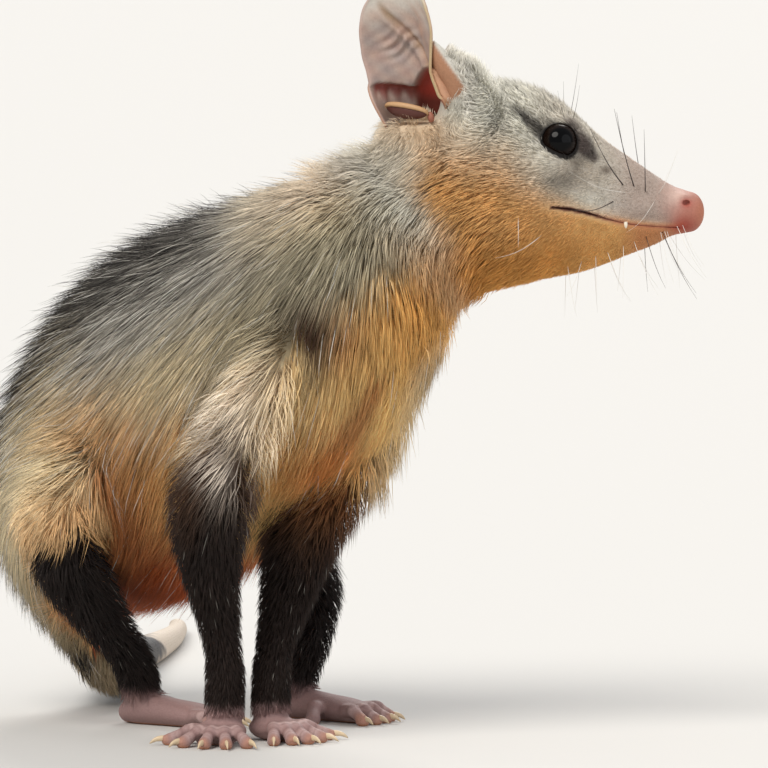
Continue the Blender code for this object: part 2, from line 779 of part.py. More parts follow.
def limb_places(name):
    """Places round the top of a leg."""
    upper, parting = leg_pieces(name)
    first, last = PLACES["leg_shares"]
    rows = read_rows(upper, PLACES["leg_rows"], parting * first, parting * last)
    slopes = path_slopes(rows, False)
    for row, slope, (left, up) in zip(rows, slopes, crosswise(slopes, LEFTWARD)):
        downward, reach = Vector(slope).normalized(), PLACES["leg_reach"] * max(row[3:])
        for turn in range(LEG_SIDES):
            angle = math.tau * turn / LEG_SIDES
            outward = left * math.cos(angle) + up * math.sin(angle)
            yield Vector(row[:3]), outward, downward, PLACES["leg_coat"], reach


def lock_rows(tree, root, normal, along, rise, length, sweep):
    """The rings of a flat tapered lock that leaves the core and bends along the body to its tip."""
    side = normal.cross(along).normalized()
    rows = []
    for share, lift, wide, thick in LOCK_RINGS:
        over = root + along * length * share + side * sweep * share * share
        foot, out, _, _ = tree.find_nearest(metres(*over))
        height = (LOCKS["sunk"] + rise) * lift - LOCKS["sunk"]
        place = in_millimetres(foot) + out * height
        rows.append((*place, LOCKS["half_width"] * wide, LOCKS["half_thickness"] * thick))
    return rows, side


def spread_locks(tree, places):
    """Locks spread evenly over the surface, each as its rings and the direction across it."""
    centres, radii = keep_clear()
    draw = random.Random(LOCKS["seed"])
    made, roots = [], []
    for centre, outward, tailward, coat, reach in places:
        hit, normal, _, _ = tree.ray_cast(metres(*centre), outward, reach * MM)
        if hit is None or abs(normal.dot(tailward)) > PLACES["endward"]:
            continue
        root = in_millimetres(hit)
        size = min(1.0, coat / LOCKS["full_coat"])
        apart = LOCKS["apart"] * (1 + size) / 2
        if any((root - other).length < apart for other in roots):
            continue
        along = tailward + DOWN * LOCKS["droop"]
        along = (along - along.dot(normal) * normal).normalized()
        length = max(LOCKS["shortest"], LOCKS["length"] * size) * draw.uniform(0.88, 1.12)
        sweep = LOCKS["sweep"] * draw.uniform(-1, 1)
        rows, side = lock_rows(tree, root, normal, along, LOCKED * coat, length, sweep)
        free = [np.min(np.linalg.norm(centres - np.array(row[:3]), axis=1) - radii) for row in rows]
        if min(free) > PLACES["free"]:
            roots.append(root)
            made.append((rows, side))
    return made


def lock_objects(locks, by=0.0):
    return [make_object("lock", tube(grown(rows, by), side, SIDES["lock"])) for rows, side in locks]


def make_trunk(fur):
    """The neck and the torso, each a core with its locks, the neck's lying over the front of the torso."""
    total = row_lengths(SPINE)[-1]
    core = spine_piece(HEAD_END + GAP, NECK_END, STEPS["neck"], (0, LOCKED), TRUNK_SIDES)
    neck = make_object("neck", core, fur)
    core = spine_piece(NECK_END + GAP, total, STEPS["torso"], (LOCKED, LOCKED), TRUNK_SIDES)
    cut_off(core, metres(*TAIL_ROOT), TAILWARD)
    torso = make_object("torso", core, fur)
    fuse(torso, [shoulder(name) for name in LEGS])
    places = list(trunk_places(HEAD_END + PLACES["first"], total - PLACES["last"]))
    for name in LEGS:
        places += limb_places(name)
    locks = spread_locks(surface_of([neck, torso]), places)
    seam, tailward = spine_plane(NECK_END)
    behind = [(metres(*rows[0][:3]) - seam).dot(tailward) > 0 for rows, _ in locks]
    body_locks = [lock for lock, back in zip(locks, behind) if back]
    neck_locks = [lock for lock, back in zip(locks, behind) if not back]
    fuse(torso, lock_objects(body_locks))
    fuse(torso, clearances(), "DIFFERENCE")
    fuse(neck, lock_objects(neck_locks))
    shell = spine_piece(NECK_END - CLEARANCE, total, STEPS["torso"], (SHELL, SHELL), TRUNK_SIDES)
    cutters = [make_object("clearance", shell)] + [shoulder(name, CLEARANCE) for name in FORELEGS]
    fuse(neck, cutters + lock_objects(body_locks, GAP), "DIFFERENCE")


def make_legs(dark):
    for name, rows in LEGS.items():
        upper, start, wrist = THIGHS.get(name, rows), IN_TORSO[name], share_at_height(rows, WRIST_HEIGHT)
        if name in THIGHS:
            leg = make_object(name, limb_piece(upper, start, 1, STEPS["thigh"], LEG_SIDES), dark)
            fuse(leg, [make_object("shin", limb_piece(rows, 0, wrist, STEPS["leg"], LEG_SIDES))])
        else:
            make_object(name, limb_piece(rows, start, wrist, STEPS["leg"], LEG_SIDES), dark)


def make_tail(skin):
    share = GAP / row_lengths(TAIL)[-1]
    for name, (start, end) in TAIL_PARTS.items():
        bm = limb_piece(TAIL, start + share, end, STEPS["tail"], TAIL_SIDES, SIDEWARD)
        cut_off(bm, metres(*TAIL_ROOT) + TAILWARD * GAP * MM, -TAILWARD)
        cut_off(bm, FLOOR, DOWN)
        make_object(name, bm, skin)


def build():
    clear_scene()
    fur = make_material("coat", (0.42, 0.33, 0.22), 0.9)
    dark = make_material("leg_fur", (0.03, 0.025, 0.022), 0.85)
    skin = make_material("bare_skin", (0.62, 0.36, 0.32), 0.6)
    tail_skin = make_material("tail_skin", (0.12, 0.10, 0.09), 0.7)
    eye = make_material("eye", (0.012, 0.010, 0.012), 0.08)
    make_head(fur, skin)
    make_eyes(eye)
    make_ears(skin)
    make_trunk(fur)
    make_legs(dark)
    for name in FOREFEET:
        make_forefoot(name, skin)
    for name in HINDFEET:
        make_hindfoot(name, skin)
    make_tail(tail_skin)


build()
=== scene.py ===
import math

import bmesh
import bpy
import numpy as np
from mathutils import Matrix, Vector
from mathutils.bvhtree import BVHTree
from mathutils.kdtree import KDTree


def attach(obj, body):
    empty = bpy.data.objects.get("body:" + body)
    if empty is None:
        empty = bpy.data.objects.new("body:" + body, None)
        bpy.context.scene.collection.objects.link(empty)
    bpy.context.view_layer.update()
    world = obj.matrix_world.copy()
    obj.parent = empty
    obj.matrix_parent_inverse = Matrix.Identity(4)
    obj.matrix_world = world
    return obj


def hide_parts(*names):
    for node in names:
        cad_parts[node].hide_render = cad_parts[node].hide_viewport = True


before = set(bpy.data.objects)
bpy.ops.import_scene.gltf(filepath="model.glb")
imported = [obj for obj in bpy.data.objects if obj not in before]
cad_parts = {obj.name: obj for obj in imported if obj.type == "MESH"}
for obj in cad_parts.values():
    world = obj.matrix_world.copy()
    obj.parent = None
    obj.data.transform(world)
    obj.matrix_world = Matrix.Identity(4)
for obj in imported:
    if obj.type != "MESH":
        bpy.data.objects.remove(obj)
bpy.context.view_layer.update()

# Lengths in the rows below are in millimetres, with x the way the muzzle points and z up.
mm = 0.001
middle = np.array((30.0, 150.0, 0.0))  # the place in the rows that lies over the frame's origin
faceY = -20.0  # the head's mirror plane
draw = np.random.default_rng(11)

# The spine from muzzle to tail root, out to the fur's tips. A row holds centre, heading, pitch, half width,
# height above, height below, depth of the coat and length of its hairs.
spineRows = [
    (152.6, -20, 179.3, 0, 0, 4.6, 3.6, 3.6, 0.2, 0.5),
    (149.3, -20, 179.6, 0, 0, 6.6, 6.9, 7.0, 0.25, 0.6),
    (144.2, -20, 180.2, 0, 0, 7.9, 8.3, 8.7, 0.3, 0.8),
    (137.7, -20, 180.6, 0, 0, 9.6, 11.7, 12.3, 0.4, 1.2),
    (129.5, -20, 181.4, 0, 0, 11.6, 16.6, 16.3, 0.5, 1.7),
    (121.4, -20, 182.2, 0, 0, 14.0, 21.4, 20.4, 0.7, 2.3),
    (112.0, -20, 183.6, 0, 0, 18.2, 27.6, 25.2, 1.1, 3.2),
    (103.0, -20, 185.4, 0, 0, 22.8, 33.2, 29.0, 1.8, 4.4),
    (93.0, -20, 187.0, 0, 0, 27.0, 36.0, 33.4, 2.8, 6.0),
    (82.0, -20, 187.6, 0, 2, 29.6, 37.2, 36.6, 4.2, 8.0),
    (69.0, -20, 184.6, 0, 10, 30.5, 36.6, 36.0, 6.0, 11.0),
    (59.5, -20, 177.8, -4, 17, 31.0, 34.8, 34.6, 8.0, 15.0),
    (49.3, -21, 168.0, -14, 26, 34.0, 38.4, 38.0, 10.0, 19.0),
    (37.5, -20, 156.5, -27, 34, 38.5, 44.5, 43.0, 12.0, 23.0),
    (24.5, -15, 142.0, -38, 37, 43.0, 54.0, 46.0, 13.0, 26.0),
    (4.5, -1, 124.0, -44, 34, 46.0, 64.0, 48.0, 14.0, 29.0),
    (-17.0, 19, 105.0, -45, 29, 48.0, 69.0, 49.0, 14.0, 30.0),
    (-36.0, 38, 88.0, -45, 31, 48.0, 66.0, 51.0, 14.0, 30.0),
    (-50.0, 51, 73.0, -45, 44, 44.0, 53.0, 43.0, 14.0, 29.0),
    (-60.0, 60, 60.0, -44, 64, 33.0, 34.0, 34.0, 12.0, 26.0),
    (-63.0, 65, 47.0, -42, 88, 21.0, 20.0, 21.0, 9.0, 20.0),
    (-60.5, 70, 35.0, -40, 104, 14.5, 14.0, 14.0, 6.0, 15.0),
]
headEnd = 104.0  # length along the spine, from the nose, at which the head ends

# Legs from inside the body to the sole: centre, half width, half depth, coat depth.
legRows = {
    "foreleg_right": [
        (10, -44, 132, 17, 22, 13),
        (0, -49, 112, 16, 20, 11),
        (-11, -47, 90, 13.5, 17, 7),
        (-13.5, -43, 68, 11, 13.5, 3.5),
        (-12.0, -39, 52, 9, 10.2, 2.6),
        (-9.5, -35.5, 37, 7.2, 7.8, 2.0),
        (-8.2, -33.5, 24, 6.8, 7.0, 1.5),
        (-8.5, -33, 13, 7.2, 6.4, 1.0),
        (-8.5, -33, 5, 7.2, 6.0, 0.6),
    ],
    "foreleg_left": [
        (45, 6, 126, 16, 20, 12),
        (40, 3, 106, 16, 19, 10),
        (24, -3, 82, 13.5, 16, 5.5),
        (17.5, -8, 67, 12, 14, 3.5),
        (13.5, -13, 51, 9.8, 11, 2.6),
        (10, -17, 38, 7.8, 8.4, 2.0),
        (7.6, -20, 26, 6.8, 7.0, 1.5),
        (7, -22, 13, 7.2, 6.4, 1.0),
        (7, -22, 5, 7.2, 6.0, 0.6),
    ],
    "thigh_right": [
        (-48, 38, 90, 24, 28, 14),
        (-57, 20, 85, 25, 29, 12),
        (-64, 6, 77, 21, 24, 8),
        (-67, -4, 70, 15, 17, 6),
        (-67.5, -10, 66, 6, 7, 3.5),
    ],
    "thigh_left": [
        (-36, 52, 90, 24, 28, 12),
        (-18, 60, 84, 24, 27, 10),
        (0, 65, 75, 19, 22, 8),
        (11, 67, 67, 13, 15, 6),
        (17, 68, 62, 5, 6, 3),
    ],
    "shin_right": [
        (-67, -3, 71, 9, 9, 5),
        (-64, -2, 60, 12, 13.5, 5),
        (-58, 4, 48, 10.5, 12, 4),
        (-50, 13, 35, 8.8, 9.6, 3),
        (-42.5, 20, 24, 7.6, 8, 2.2),
        (-39, 24, 13, 7.0, 7.0, 1.4),
        (-38.5, 25, 5, 6.0, 6.0, 0.6),
    ],
    "shin_left": [
        (12, 67, 67, 9, 9, 5),
        (17, 64, 55, 12, 13, 5),
        (20.5, 58, 42, 10, 11, 4),
        (20, 50, 29, 8.2, 9, 3),
        (17, 44.5, 20, 7.4, 7.8, 2.2),
        (15.2, 43, 13, 7.0, 7.0, 1.4),
        (15, 43, 5, 6.0, 6.0, 0.6),
    ],
}
tailRows = [
    (-62, 68, 42, 12.8, 12.8, 7),
    (-59, 72, 29, 12.4, 12.4, 6),
    (-53, 81, 17.5, 11.9, 11.9, 5),
    (-50, 94, 11.4, 11.0, 11.0, 4),
    (-50, 112, 9.6, 9.9, 9.9, 1.6),
    (-50, 150, 7.9, 8.2, 8.2, 0.2),
    (-46, 200, 6.3, 6.6, 6.6, 0),
    (-40, 250, 5.0, 5.3, 5.3, 0),
    (-36, 300, 3.8, 4.1, 4.1, 0),
    (-36, 345, 2.8, 3.1, 3.1, 0),
    (-38, 366, 1.6, 1.9, 1.9, 0),
]
leftward = Vector((0.7, 0.7, 0))
sideward = Vector((1, 0, 0))


def toScene(points):
    return (np.asarray(points, float) - middle) * mm


def rowLengths(rows):
    steps = np.linalg.norm(np.diff(np.array(rows, float)[:, :3], axis=0), axis=1)
    return np.concatenate([[0.0], np.cumsum(steps)])


# Rows read as smooth curves of the length along them, from one share of it to another.
def readRows(rows, count, start=0.0, end=1.0):
    at = rowLengths(rows)
    rows = np.array(rows, float)
    slopes = np.gradient(rows, at, axis=0)
    want = np.linspace(start, end, count) * at[-1]
    k = np.clip(np.searchsorted(at, want, side="right") - 1, 0, len(at) - 2)
    span = (at[k + 1] - at[k])[:, None]
    t = (want - at[k])[:, None] / span
    return (
        (2 * t**3 - 3 * t**2 + 1) * rows[k]
        + (t**3 - 2 * t**2 + t) * span * slopes[k]
        + (3 * t**2 - 2 * t**3) * rows[k + 1]
        + (t**3 - t**2) * span * slopes[k + 1]
    )


def spineFrame(heading, pitch):
    h, p = math.radians(heading), math.radians(pitch)
    axis = Vector((math.cos(p) * math.cos(h), math.cos(p) * math.sin(h), math.sin(p)))
    left = Vector((-math.sin(h), math.cos(h), 0))
    return left, axis.cross(left)


def crosswise(slopes, side):
    frames = []
    for slope in slopes:
        axis = Vector(slope).normalized()
        left = (side - side.dot(axis) * axis).normalized()
        frames.append((left, axis.cross(left)))
    return frames


def addRing(bm, centre, left, up, width, above, below, sides):
    made = bmesh.ops.create_circle(bm, cap_ends=False, segments=sides, radius=1)["verts"]
    for vertex in made:
        across, rise = vertex.co.x, vertex.co.y
        rise *= above if rise > 0 else below
        spot = Vector(centre) + left * across * width + up * rise
        vertex.co = Vector(toScene(spot))
    return made


def ringEdges(verts):
    inside = set(verts)
    return list({e for v in verts for e in v.link_edges if e.other_vert(v) in inside})


def bridgeRings(bm, rings, closed=False):
    loops = [ringEdges(ring) for ring in rings]
    for first, second in zip(loops, loops[1:]):
        bmesh.ops.bridge_loops(bm, edges=first + second)
    if closed:
        bmesh.ops.bridge_loops(bm, edges=loops[-1] + loops[0])
    else:
        bmesh.ops.contextual_create(bm, geom=loops[0])
        bmesh.ops.contextual_create(bm, geom=loops[-1])


# A length of the body at the skin, with the coat's depth taken off. A plug is thinner still at its start.
def addSpine(bm, start, end, step, plug=0.0, sides=56):
    total = rowLengths(spineRows)[-1]
    count = round((end - start) / step) + 1
    rings = []
    for n, row in enumerate(readRows(spineRows, count, start / total, end / total)):
        left, up = spineFrame(row[3], row[4])
        cut = row[8] + plug * max(0.0, 1 - n * step / 14)
        rings.append(addRing(bm, row[:3], left, up, row[5] - cut, row[6] - cut, row[7] - cut, sides))
    bridgeRings(bm, rings)


def addTube(bm, rows, side, sides, closed=False):
    points = np.array(rows, float)[:, :3]
    slopes = np.roll(points, -1, 0) - np.roll(points, 1, 0) if closed else np.gradient(points, axis=0)
    rings = []
    for row, (left, up) in zip(rows, crosswise(slopes, side)):
        rings.append(addRing(bm, row[:3], left, up, row[3], row[4], row[4], sides))
    bridgeRings(bm, rings, closed)


def addLimb(bm, rows, start, end, step, sides, side=leftward, thinner=0.0):
    count = max(3, round(rowLengths(rows)[-1] * (end - start) / step) + 1)
    read = readRows(rows, count, start, end)
    read[:, 3] -= read[:, 5] + thinner
    read[:, 4] -= read[:, 5] + thinner
    addTube(bm, read, side, sides)


def addBall(bm, centre, radii, across=24, rings=16, turn=0.0):
    made = bmesh.ops.create_uvsphere(bm, u_segments=across, v_segments=rings, radius=1)["verts"]
    c, s = math.cos(math.radians(turn)), math.sin(math.radians(turn))
    for vertex in made:
        x, y, z = (a * r for a, r in zip(vertex.co, radii))
        vertex.co = Vector(toScene(Vector(centre) + Vector((x * c - y * s, x * s + y * c, z))))
    return made


def makeObject(name, bm, material=None):
    bmesh.ops.recalc_face_normals(bm, faces=bm.faces)
    mesh = bpy.data.meshes.new(name)
    bm.to_mesh(mesh)
    bm.free()
    if material:
        mesh.materials.append(material)
    mesh.shade_smooth()
    made = bpy.data.objects.new(name, mesh)
    bpy.context.scene.collection.objects.link(made)
    return made


def applyModifiers(piece):
    graph = bpy.context.evaluated_depsgraph_get()
    mesh = bpy.data.meshes.new_from_object(piece.evaluated_get(graph))
    piece.modifiers.clear()
    piece.data = mesh


# One smooth surface round all the closed shapes in a bmesh.
def meltTogether(name, bm, voxel, smooths):
    piece = makeObject(name, bm)
    remesh = piece.modifiers.new("melt", "REMESH")
    remesh.mode = "VOXEL"
    remesh.voxel_size = voxel * mm
    applyModifiers(piece)
    smoothPiece(piece, smooths)
    return piece


def smoothPiece(piece, times, near=None):
    bm = bmesh.new()
    bm.from_mesh(piece.data)
    verts = [v for v in bm.verts if near is None or near(v.co)]
    for _ in range(times):
        bmesh.ops.smooth_vert(
            bm, verts=verts, factor=0.5, use_axis_x=True, use_axis_y=True, use_axis_z=True
        )
    bm.to_mesh(piece.data)
    bm.free()


def combine(target, pieces, operation="UNION"):
    helpers = bpy.data.collections.new("helpers")
    bpy.context.scene.collection.children.link(helpers)
    for piece in pieces:
        bpy.context.scene.collection.objects.unlink(piece)
        helpers.objects.link(piece)
    boolean = target.modifiers.new("combine", "BOOLEAN")
    boolean.operation = operation
    boolean.operand_type = "COLLECTION"
    boolean.collection = helpers
    boolean.solver = "MANIFOLD"
    applyModifiers(target)
    for piece in pieces:
        bpy.data.objects.remove(piece)
    bpy.data.collections.remove(helpers)


# Camera and light come first, so that each stage below can be looked at.
view = {"distance": 2300.0, "elevation": 3.5, "span": 261.12, "aim": (45.56, -20.0, 121.04)}


def makeCamera():
    tilt = math.radians(view["elevation"])
    look = Vector((0, math.cos(tilt), -math.sin(tilt)))
    camera = bpy.data.cameras.new("camera")
    camera.sensor_width = 36
    camera.lens = camera.sensor_width * view["distance"] / view["span"]
    camera.clip_start = 0.1
    holder = bpy.data.objects.new("camera", camera)
    holder.location = Vector(toScene(view["aim"])) - look * view["distance"] * mm
    holder.rotation_euler = (math.pi / 2 - tilt, 0, 0)
    bpy.context.scene.collection.objects.link(holder)
    bpy.context.scene.camera = holder


studio = {
    "key": {"from": (-0.55, -0.85, 1.15), "spread": 34, "power": 2.5, "colour": (1.0, 0.96, 0.9)},
    "fill": {"from": (1.3, -1.1, 0.45), "spread": 60, "power": 0.8, "colour": (0.95, 0.97, 1.0)},
    "rim": {"from": (0.25, 1.2, 1.0), "spread": 30, "power": 1.6, "colour": (1.0, 0.98, 0.95)},
    "air": (0.9, 0.91, 0.93),
    "airStrength": 0.55,
}


def makeLights():
    for name in ("key", "fill", "rim"):
        spec = studio[name]
        lamp = bpy.data.lights.new(name, "SUN")
        lamp.angle = math.radians(spec["spread"])
        lamp.energy = spec["power"]
        lamp.color = spec["colour"]
        holder = bpy.data.objects.new(name, lamp)
        holder.location = spec["from"]
        holder.rotation_euler = (-Vector(spec["from"])).to_track_quat("-Z", "Y").to_euler()
        bpy.context.scene.collection.objects.link(holder)
    world = bpy.data.worlds.new("air")
    bpy.context.scene.world = world
    world.use_nodes = True
    background = world.node_tree.nodes["Background"]
    background.inputs["Color"].default_value = (*studio["air"], 1)
    background.inputs["Strength"].default_value = studio["airStrength"]
    bpy.context.scene.view_settings.view_transform = "Standard"


makeCamera()
makeLights()
print("camera and lights")


def plainMaterial(name, colour, roughness):
    material = bpy.data.materials.new(name)
    material.use_nodes = True
    shader = material.node_tree.nodes["Principled BSDF"]
    shader.inputs["Base Color"].default_value = (*colour, 1)
    shader.inputs["Roughness"].default_value = roughness
    return material


floorLook = {"colour": (0.6, 0.59, 0.57), "roughness": 0.85, "size": 150.0}


def makeFloor():
    bm = bmesh.new()
    bmesh.ops.create_grid(bm, x_segments=1, y_segments=1, size=floorLook["size"])
    finish = plainMaterial("floor", floorLook["colour"], floorLook["roughness"])
    makeObject("floor", bm, finish)


makeFloor()

# Thighs' hair hangs straight down. Elsewhere it lies along the chain.
thighLie = (-0.3, 0.25, -1.0)


# The chains of the body, sampled finely: each point of the skin finds its place, angle and lie on one.
def sampleChain(name, rows, spine):
    total = rowLengths(rows)[-1]
    at = np.arange(0, total, 2.0)
    read = readRows(rows, len(at), 0, at[-1] / total)
    slopes = np.gradient(read[:, :3], axis=0)
    slopes /= np.linalg.norm(slopes, axis=1)[:, None]
    if spine:
        turned = [spineFrame(row[3], row[4]) for row in read]
        sizes, hair = read[:, 5:8] - read[:, 8:9], read[:, 9]
    else:
        turned = crosswise(slopes, leftward)
        sizes, hair = read[:, (3, 4, 4)] - read[:, 5:6], 3.0 + read[:, 5] * 1.7
    return {
        "name": name,
        "at": at,
        "centre": read[:, :3],
        "way": slopes,
        "lie": np.tile(thighLie, (len(at), 1)) if name.startswith("thigh") else slopes,
        "left": np.array([t[0] for t in turned]),
        "up": np.array([t[1] for t in turned]),
        "sizes": sizes,
        "depth": read[:, 8] if spine else read[:, 5],
        "hair": hair,
    }


chains = [sampleChain("spine", spineRows, True)]
for name, rows in legRows.items():
    chains.append(sampleChain(name, rows, False))
chains.append(sampleChain("tail", tailRows, False))
chainNames = [chain["name"] for chain in chains]


# For points in millimetres: the nearest chain, the place along and angle about it, and blended lie and depth.
def bodyField(points):
    count = len(points)
    near = np.empty((len(chains), count))
    at = np.empty((len(chains), count))
    angle = np.empty((len(chains), count))
    way = np.empty((len(chains), count, 3))
    depth = np.empty((len(chains), count))
    hair = np.empty((len(chains), count))
    for c, chain in enumerate(chains):
        for start in range(0, count, 20000):
            part = points[start : start + 20000]
            square = (part**2).sum(1)[:, None] + (chain["centre"] ** 2).sum(1)
            k = (square - 2 * part @ chain["centre"].T).argmin(1)
            offset = part - chain["centre"][k]
            across = (offset * chain["left"][k]).sum(1)
            rise = (offset * chain["up"][k]).sum(1)
            sizes = chain["sizes"][k]
            height = np.where(rise > 0, sizes[:, 1], sizes[:, 2])
            beyond = np.abs((offset * chain["way"][k]).sum(1))
            span = slice(start, start + len(part))
            near[c, span] = np.hypot(np.hypot(across / sizes[:, 0], rise / height), beyond / 20)
            if chain["name"].startswith(("foreleg", "thigh")):
                near[c, span] += 0.9 * (1 - fade(6, 40, chain["at"][k]))
            at[c, span] = chain["at"][k]
            angle[c, span] = np.arctan2(across, rise)
            way[c, span] = chain["lie"][k]
            depth[c, span] = chain["depth"][k]
            hair[c, span] = chain["hair"][k]
    main = near.argmin(0)
    pick = (main, np.arange(count))
    weight = np.exp(-3.5 * (near - near.min(0)))
    weight /= weight.sum(0)
    return {
        "chain": main,
        "at": at[pick],
        "spineAt": at[0],
        "spineAngle": np.degrees(angle[0]),
        "spineShare": weight[0],
        "angle": angle[pick],
        "way": (way * weight[:, :, None]).sum(0),
        "depth": (depth * weight).sum(0),
        "hair": (hair * weight).sum(0),
    }


# Which points belong to the chains named.
def onChains(field, *names):
    return np.isin(field["chain"], [chainNames.index(name) for name in names])


def fade(low, high, value):
    t = np.clip((value - low) / (high - low), 0, 1)
    return t * t * (3 - 2 * t)


def blob(points, centre, radii):
    return np.exp(-(((points - np.array(centre)) / np.array(radii)) ** 2).sum(1))


def linear(colour):
    c = np.array(colour, float) / 255
    return np.where(c <= 0.04045, c / 12.92, ((c + 0.055) / 1.055) ** 2.4)


# The animal's colours, as the eye sees them, from 0 to 255.
palette = {
    "crown": (228, 225, 213),
    "cheek": (226, 176, 112),
    "jaw": (224, 164, 88),
    "lipOrange": (198, 132, 90),
    "lipRed": (160, 84, 70),
    "muzzle": (172, 150, 139),
    "underEyeAndBrowShade": (200, 190, 176),
    "stripe": (44, 36, 31),
    "stripeSoft": (92, 80, 76),
    "nose": (160, 104, 90),
    "nosePale": (206, 178, 166),
    "noseTip": (192, 122, 92),
    "noseShade": (154, 66, 54),
    "nape": (224, 206, 182),
    "neckSide": (192, 182, 156),
    "shoulder": (184, 180, 172),
    "throat": (232, 176, 98),
    "flank": (246, 229, 192),
    "underCoat": (240, 176, 98),
    "chest": (250, 212, 141),
    "armpit": (246, 158, 82),
    "belly": (208, 106, 58),
    "upperArm": (255, 242, 226),
    "rump": (148, 130, 100),
    "back": (84, 80, 76),
    "black": (16, 12, 12),
    "leg": (36, 27, 24),
    "spot": (84, 60, 44),
    "tailFur": (204, 184, 152),
    "tailBlack": (40, 35, 34),
    "tailWhite": (206, 190, 172),
    "foot": (146, 118, 115),
    # Painted highlight on the knuckles and painted shade in the creases across the digits.
    "knuckleHighlight": (196, 170, 166),
    "creaseShade": (96, 66, 62),
    "rust": (186, 104, 54),
    "pad": (186, 128, 96),
    "mouth": (84, 46, 36),
    "white": (226, 222, 212),
    "earFront": (184, 136, 106),
}
tone = {name: linear(colour) for name, colour in palette.items()}


def mixTo(colours, name, share):
    colours += (tone[name] - colours) * share[:, None]


# The dark stripe through each eye: the ends of each part as x and z, and its half width there.
stripeParts = [
    ((90.0, 213.6), (98.8, 206.6), 0.7, 2.1),
    ((108.0, 207.5), (112.5, 202.6), 3.0, 2.5),
    ((112.5, 202.6), (116.4, 198.2), 2.5, 1.2),
]


def toLine(points, start, end):
    start, end = np.array(start), np.array(end)
    way = end - start
    t = np.clip(((points - start) @ way) / (way @ way), 0, 1)
    return np.linalg.norm(points - start - t[:, None] * way, axis=1), t


# Hands and feet: painted shade in the creases across the digits, painted highlights on the knuckles and warm
# tips, by distance from the palm or sole.
footRounds = [
    ((-9.5, -35.0), (-0.3, -0.95), 4.0, 17.0),
    ((8.0, -24.0), (0.7, -0.7), 4.0, 17.0),
    ((-17.3, 13.5), (0.87, -0.5), 0.0, 14.0),
    ((35.3, 30.1), (0.84, -0.54), 0.0, 14.0),
]


def footShades(colours, points, share):
    mixTo(colours, "foot", share)
    apart = [np.linalg.norm(points[:, :2] - np.array(spec[0]), axis=1) for spec in footRounds]
    apart = np.stack(apart)
    nearest = apart.argmin(0)
    for n, (centre, way, start, length) in enumerate(footRounds):
        far = apart[n]
        t = (far - start) / length
        ahead = (points[:, :2] - np.array(centre)) @ np.array(way)
        own = share * (nearest == n) * fade(-2, 2, ahead) * (1 - fade(1.15, 1.3, t))
        lines = (0.5 + 0.5 * np.sin(far * 2.7)) ** 3 * fade(0.1, 0.3, t)
        knuckles = np.exp(-(((t - 0.42) / 0.1) ** 2)) + np.exp(-(((t - 0.76) / 0.08) ** 2))
        # Painted highlights on the knuckles and painted shade in the creases.
        mixTo(colours, "knuckleHighlight", 0.5 * own * knuckles)
        mixTo(colours, "creaseShade", 0.38 * own * lines * (1 - fade(0.75, 0.9, t)))
        mixTo(colours, "pad", 0.45 * own * fade(0.8, 1.0, t))


# Places on the head, the same for both sides: x, distance from the mirror plane and z.
def headPlaces(points):
    return np.stack([points[:, 0], np.abs(points[:, 1] - faceY), points[:, 2]], 1)


def fromEye(flat):
    return np.linalg.norm(flat - np.array((eye["x"], eye["out"] + 2.4, eye["z"])), axis=1)


def fromMouth(x, z):
    return np.abs(z - np.interp(x, *np.array(mouthLine).T))


# Nape, neck, flanks, belly and back, by length along the spine and angle from its top. How dark the hairs'
# tips are comes back.
def trunkMarks(colours, points, at, angle):
    x, _, z = points.T
    mixTo(colours, "neckSide", (1 - fade(135, 190, at)) * fade(40, 75, angle))
    mixTo(colours, "nape", (1 - fade(118, 160, at)) * (1 - fade(30, 70, angle)))
    shoulder = fade(118, 155, at) * (1 - fade(200, 240, at)) * (1 - fade(50, 88, angle))
    mixTo(colours, "shoulder", 0.9 * shoulder)
    mixTo(colours, "underCoat", 0.75 * fade(160, 210, at) * fade(88, 125, angle))
    mixTo(colours, "belly", fade(170, 230, at) * fade(128, 155, angle))
    mixTo(colours, "chest", (1 - fade(195, 235, at)) * fade(98, 148, angle))
    mixTo(colours, "throat", (1 - fade(112, 150, at)) * fade(96, 138, angle))
    mixTo(colours, "rump", 0.8 * fade(275, 320, at) * (1 - fade(100, 140, angle)))
    wider = 16 * fade(225, 290, at)
    uneven = angle + 5 * np.sin(x * 0.21) * np.sin(z * 0.17)
    back = fade(128, 170, at) * (1 - fade(16 + wider, 56 + wider, uneven))
    mixTo(colours, "back", 0.85 * back)
    tips = np.maximum(np.maximum(0.26, 0.34 * shoulder), 0.9 * back)
    return tips * (1 - 0.85 * fade(105, 135, angle)) * (1 - 0.4 * fade(280, 320, at))


# Small spots on the face: tone, share, centre and radii in x and z. The first is painted shade below the eye.
faceSpots = [
    ("stripe", 0.14, (107, 190), (6, 2)),
    ("spot", 0.6, (120.7, 194), (2.2, 1.3)),
]
# The nose's tones over its base one: tone, share, centre and radii. The last one is the red below it.
noseSpots = [
    ("noseTip", 0.8, (153.5, 2, 179.5), (4, 4, 4.5)),
    ("nosePale", 0.85, (143.8, 5, 185.3), (5.5, 6, 4)),
    ("noseShade", 0.95, (147.9, 6.2, 182.8), (2.1, 2.4, 1.7)),
    ("noseShade", 0.9, (146.6, 5, 174.9), (4.0, 8, 3.0)),
]
# Height of the border between pale face and orange cheek at places along the head.
cheekAt = (56, 86, 104, 112, 121, 138, 146)
cheekHeights = (203, 197, 186, 181.5, 179, 176.4, 176)
# Half width of the painted line of the mouth at places along it.
lipAt = (101, 108, 118, 128, 138, 147)
lipWidths = (0.4, 0.8, 0.6, 0.35, 0.3, 0.8)


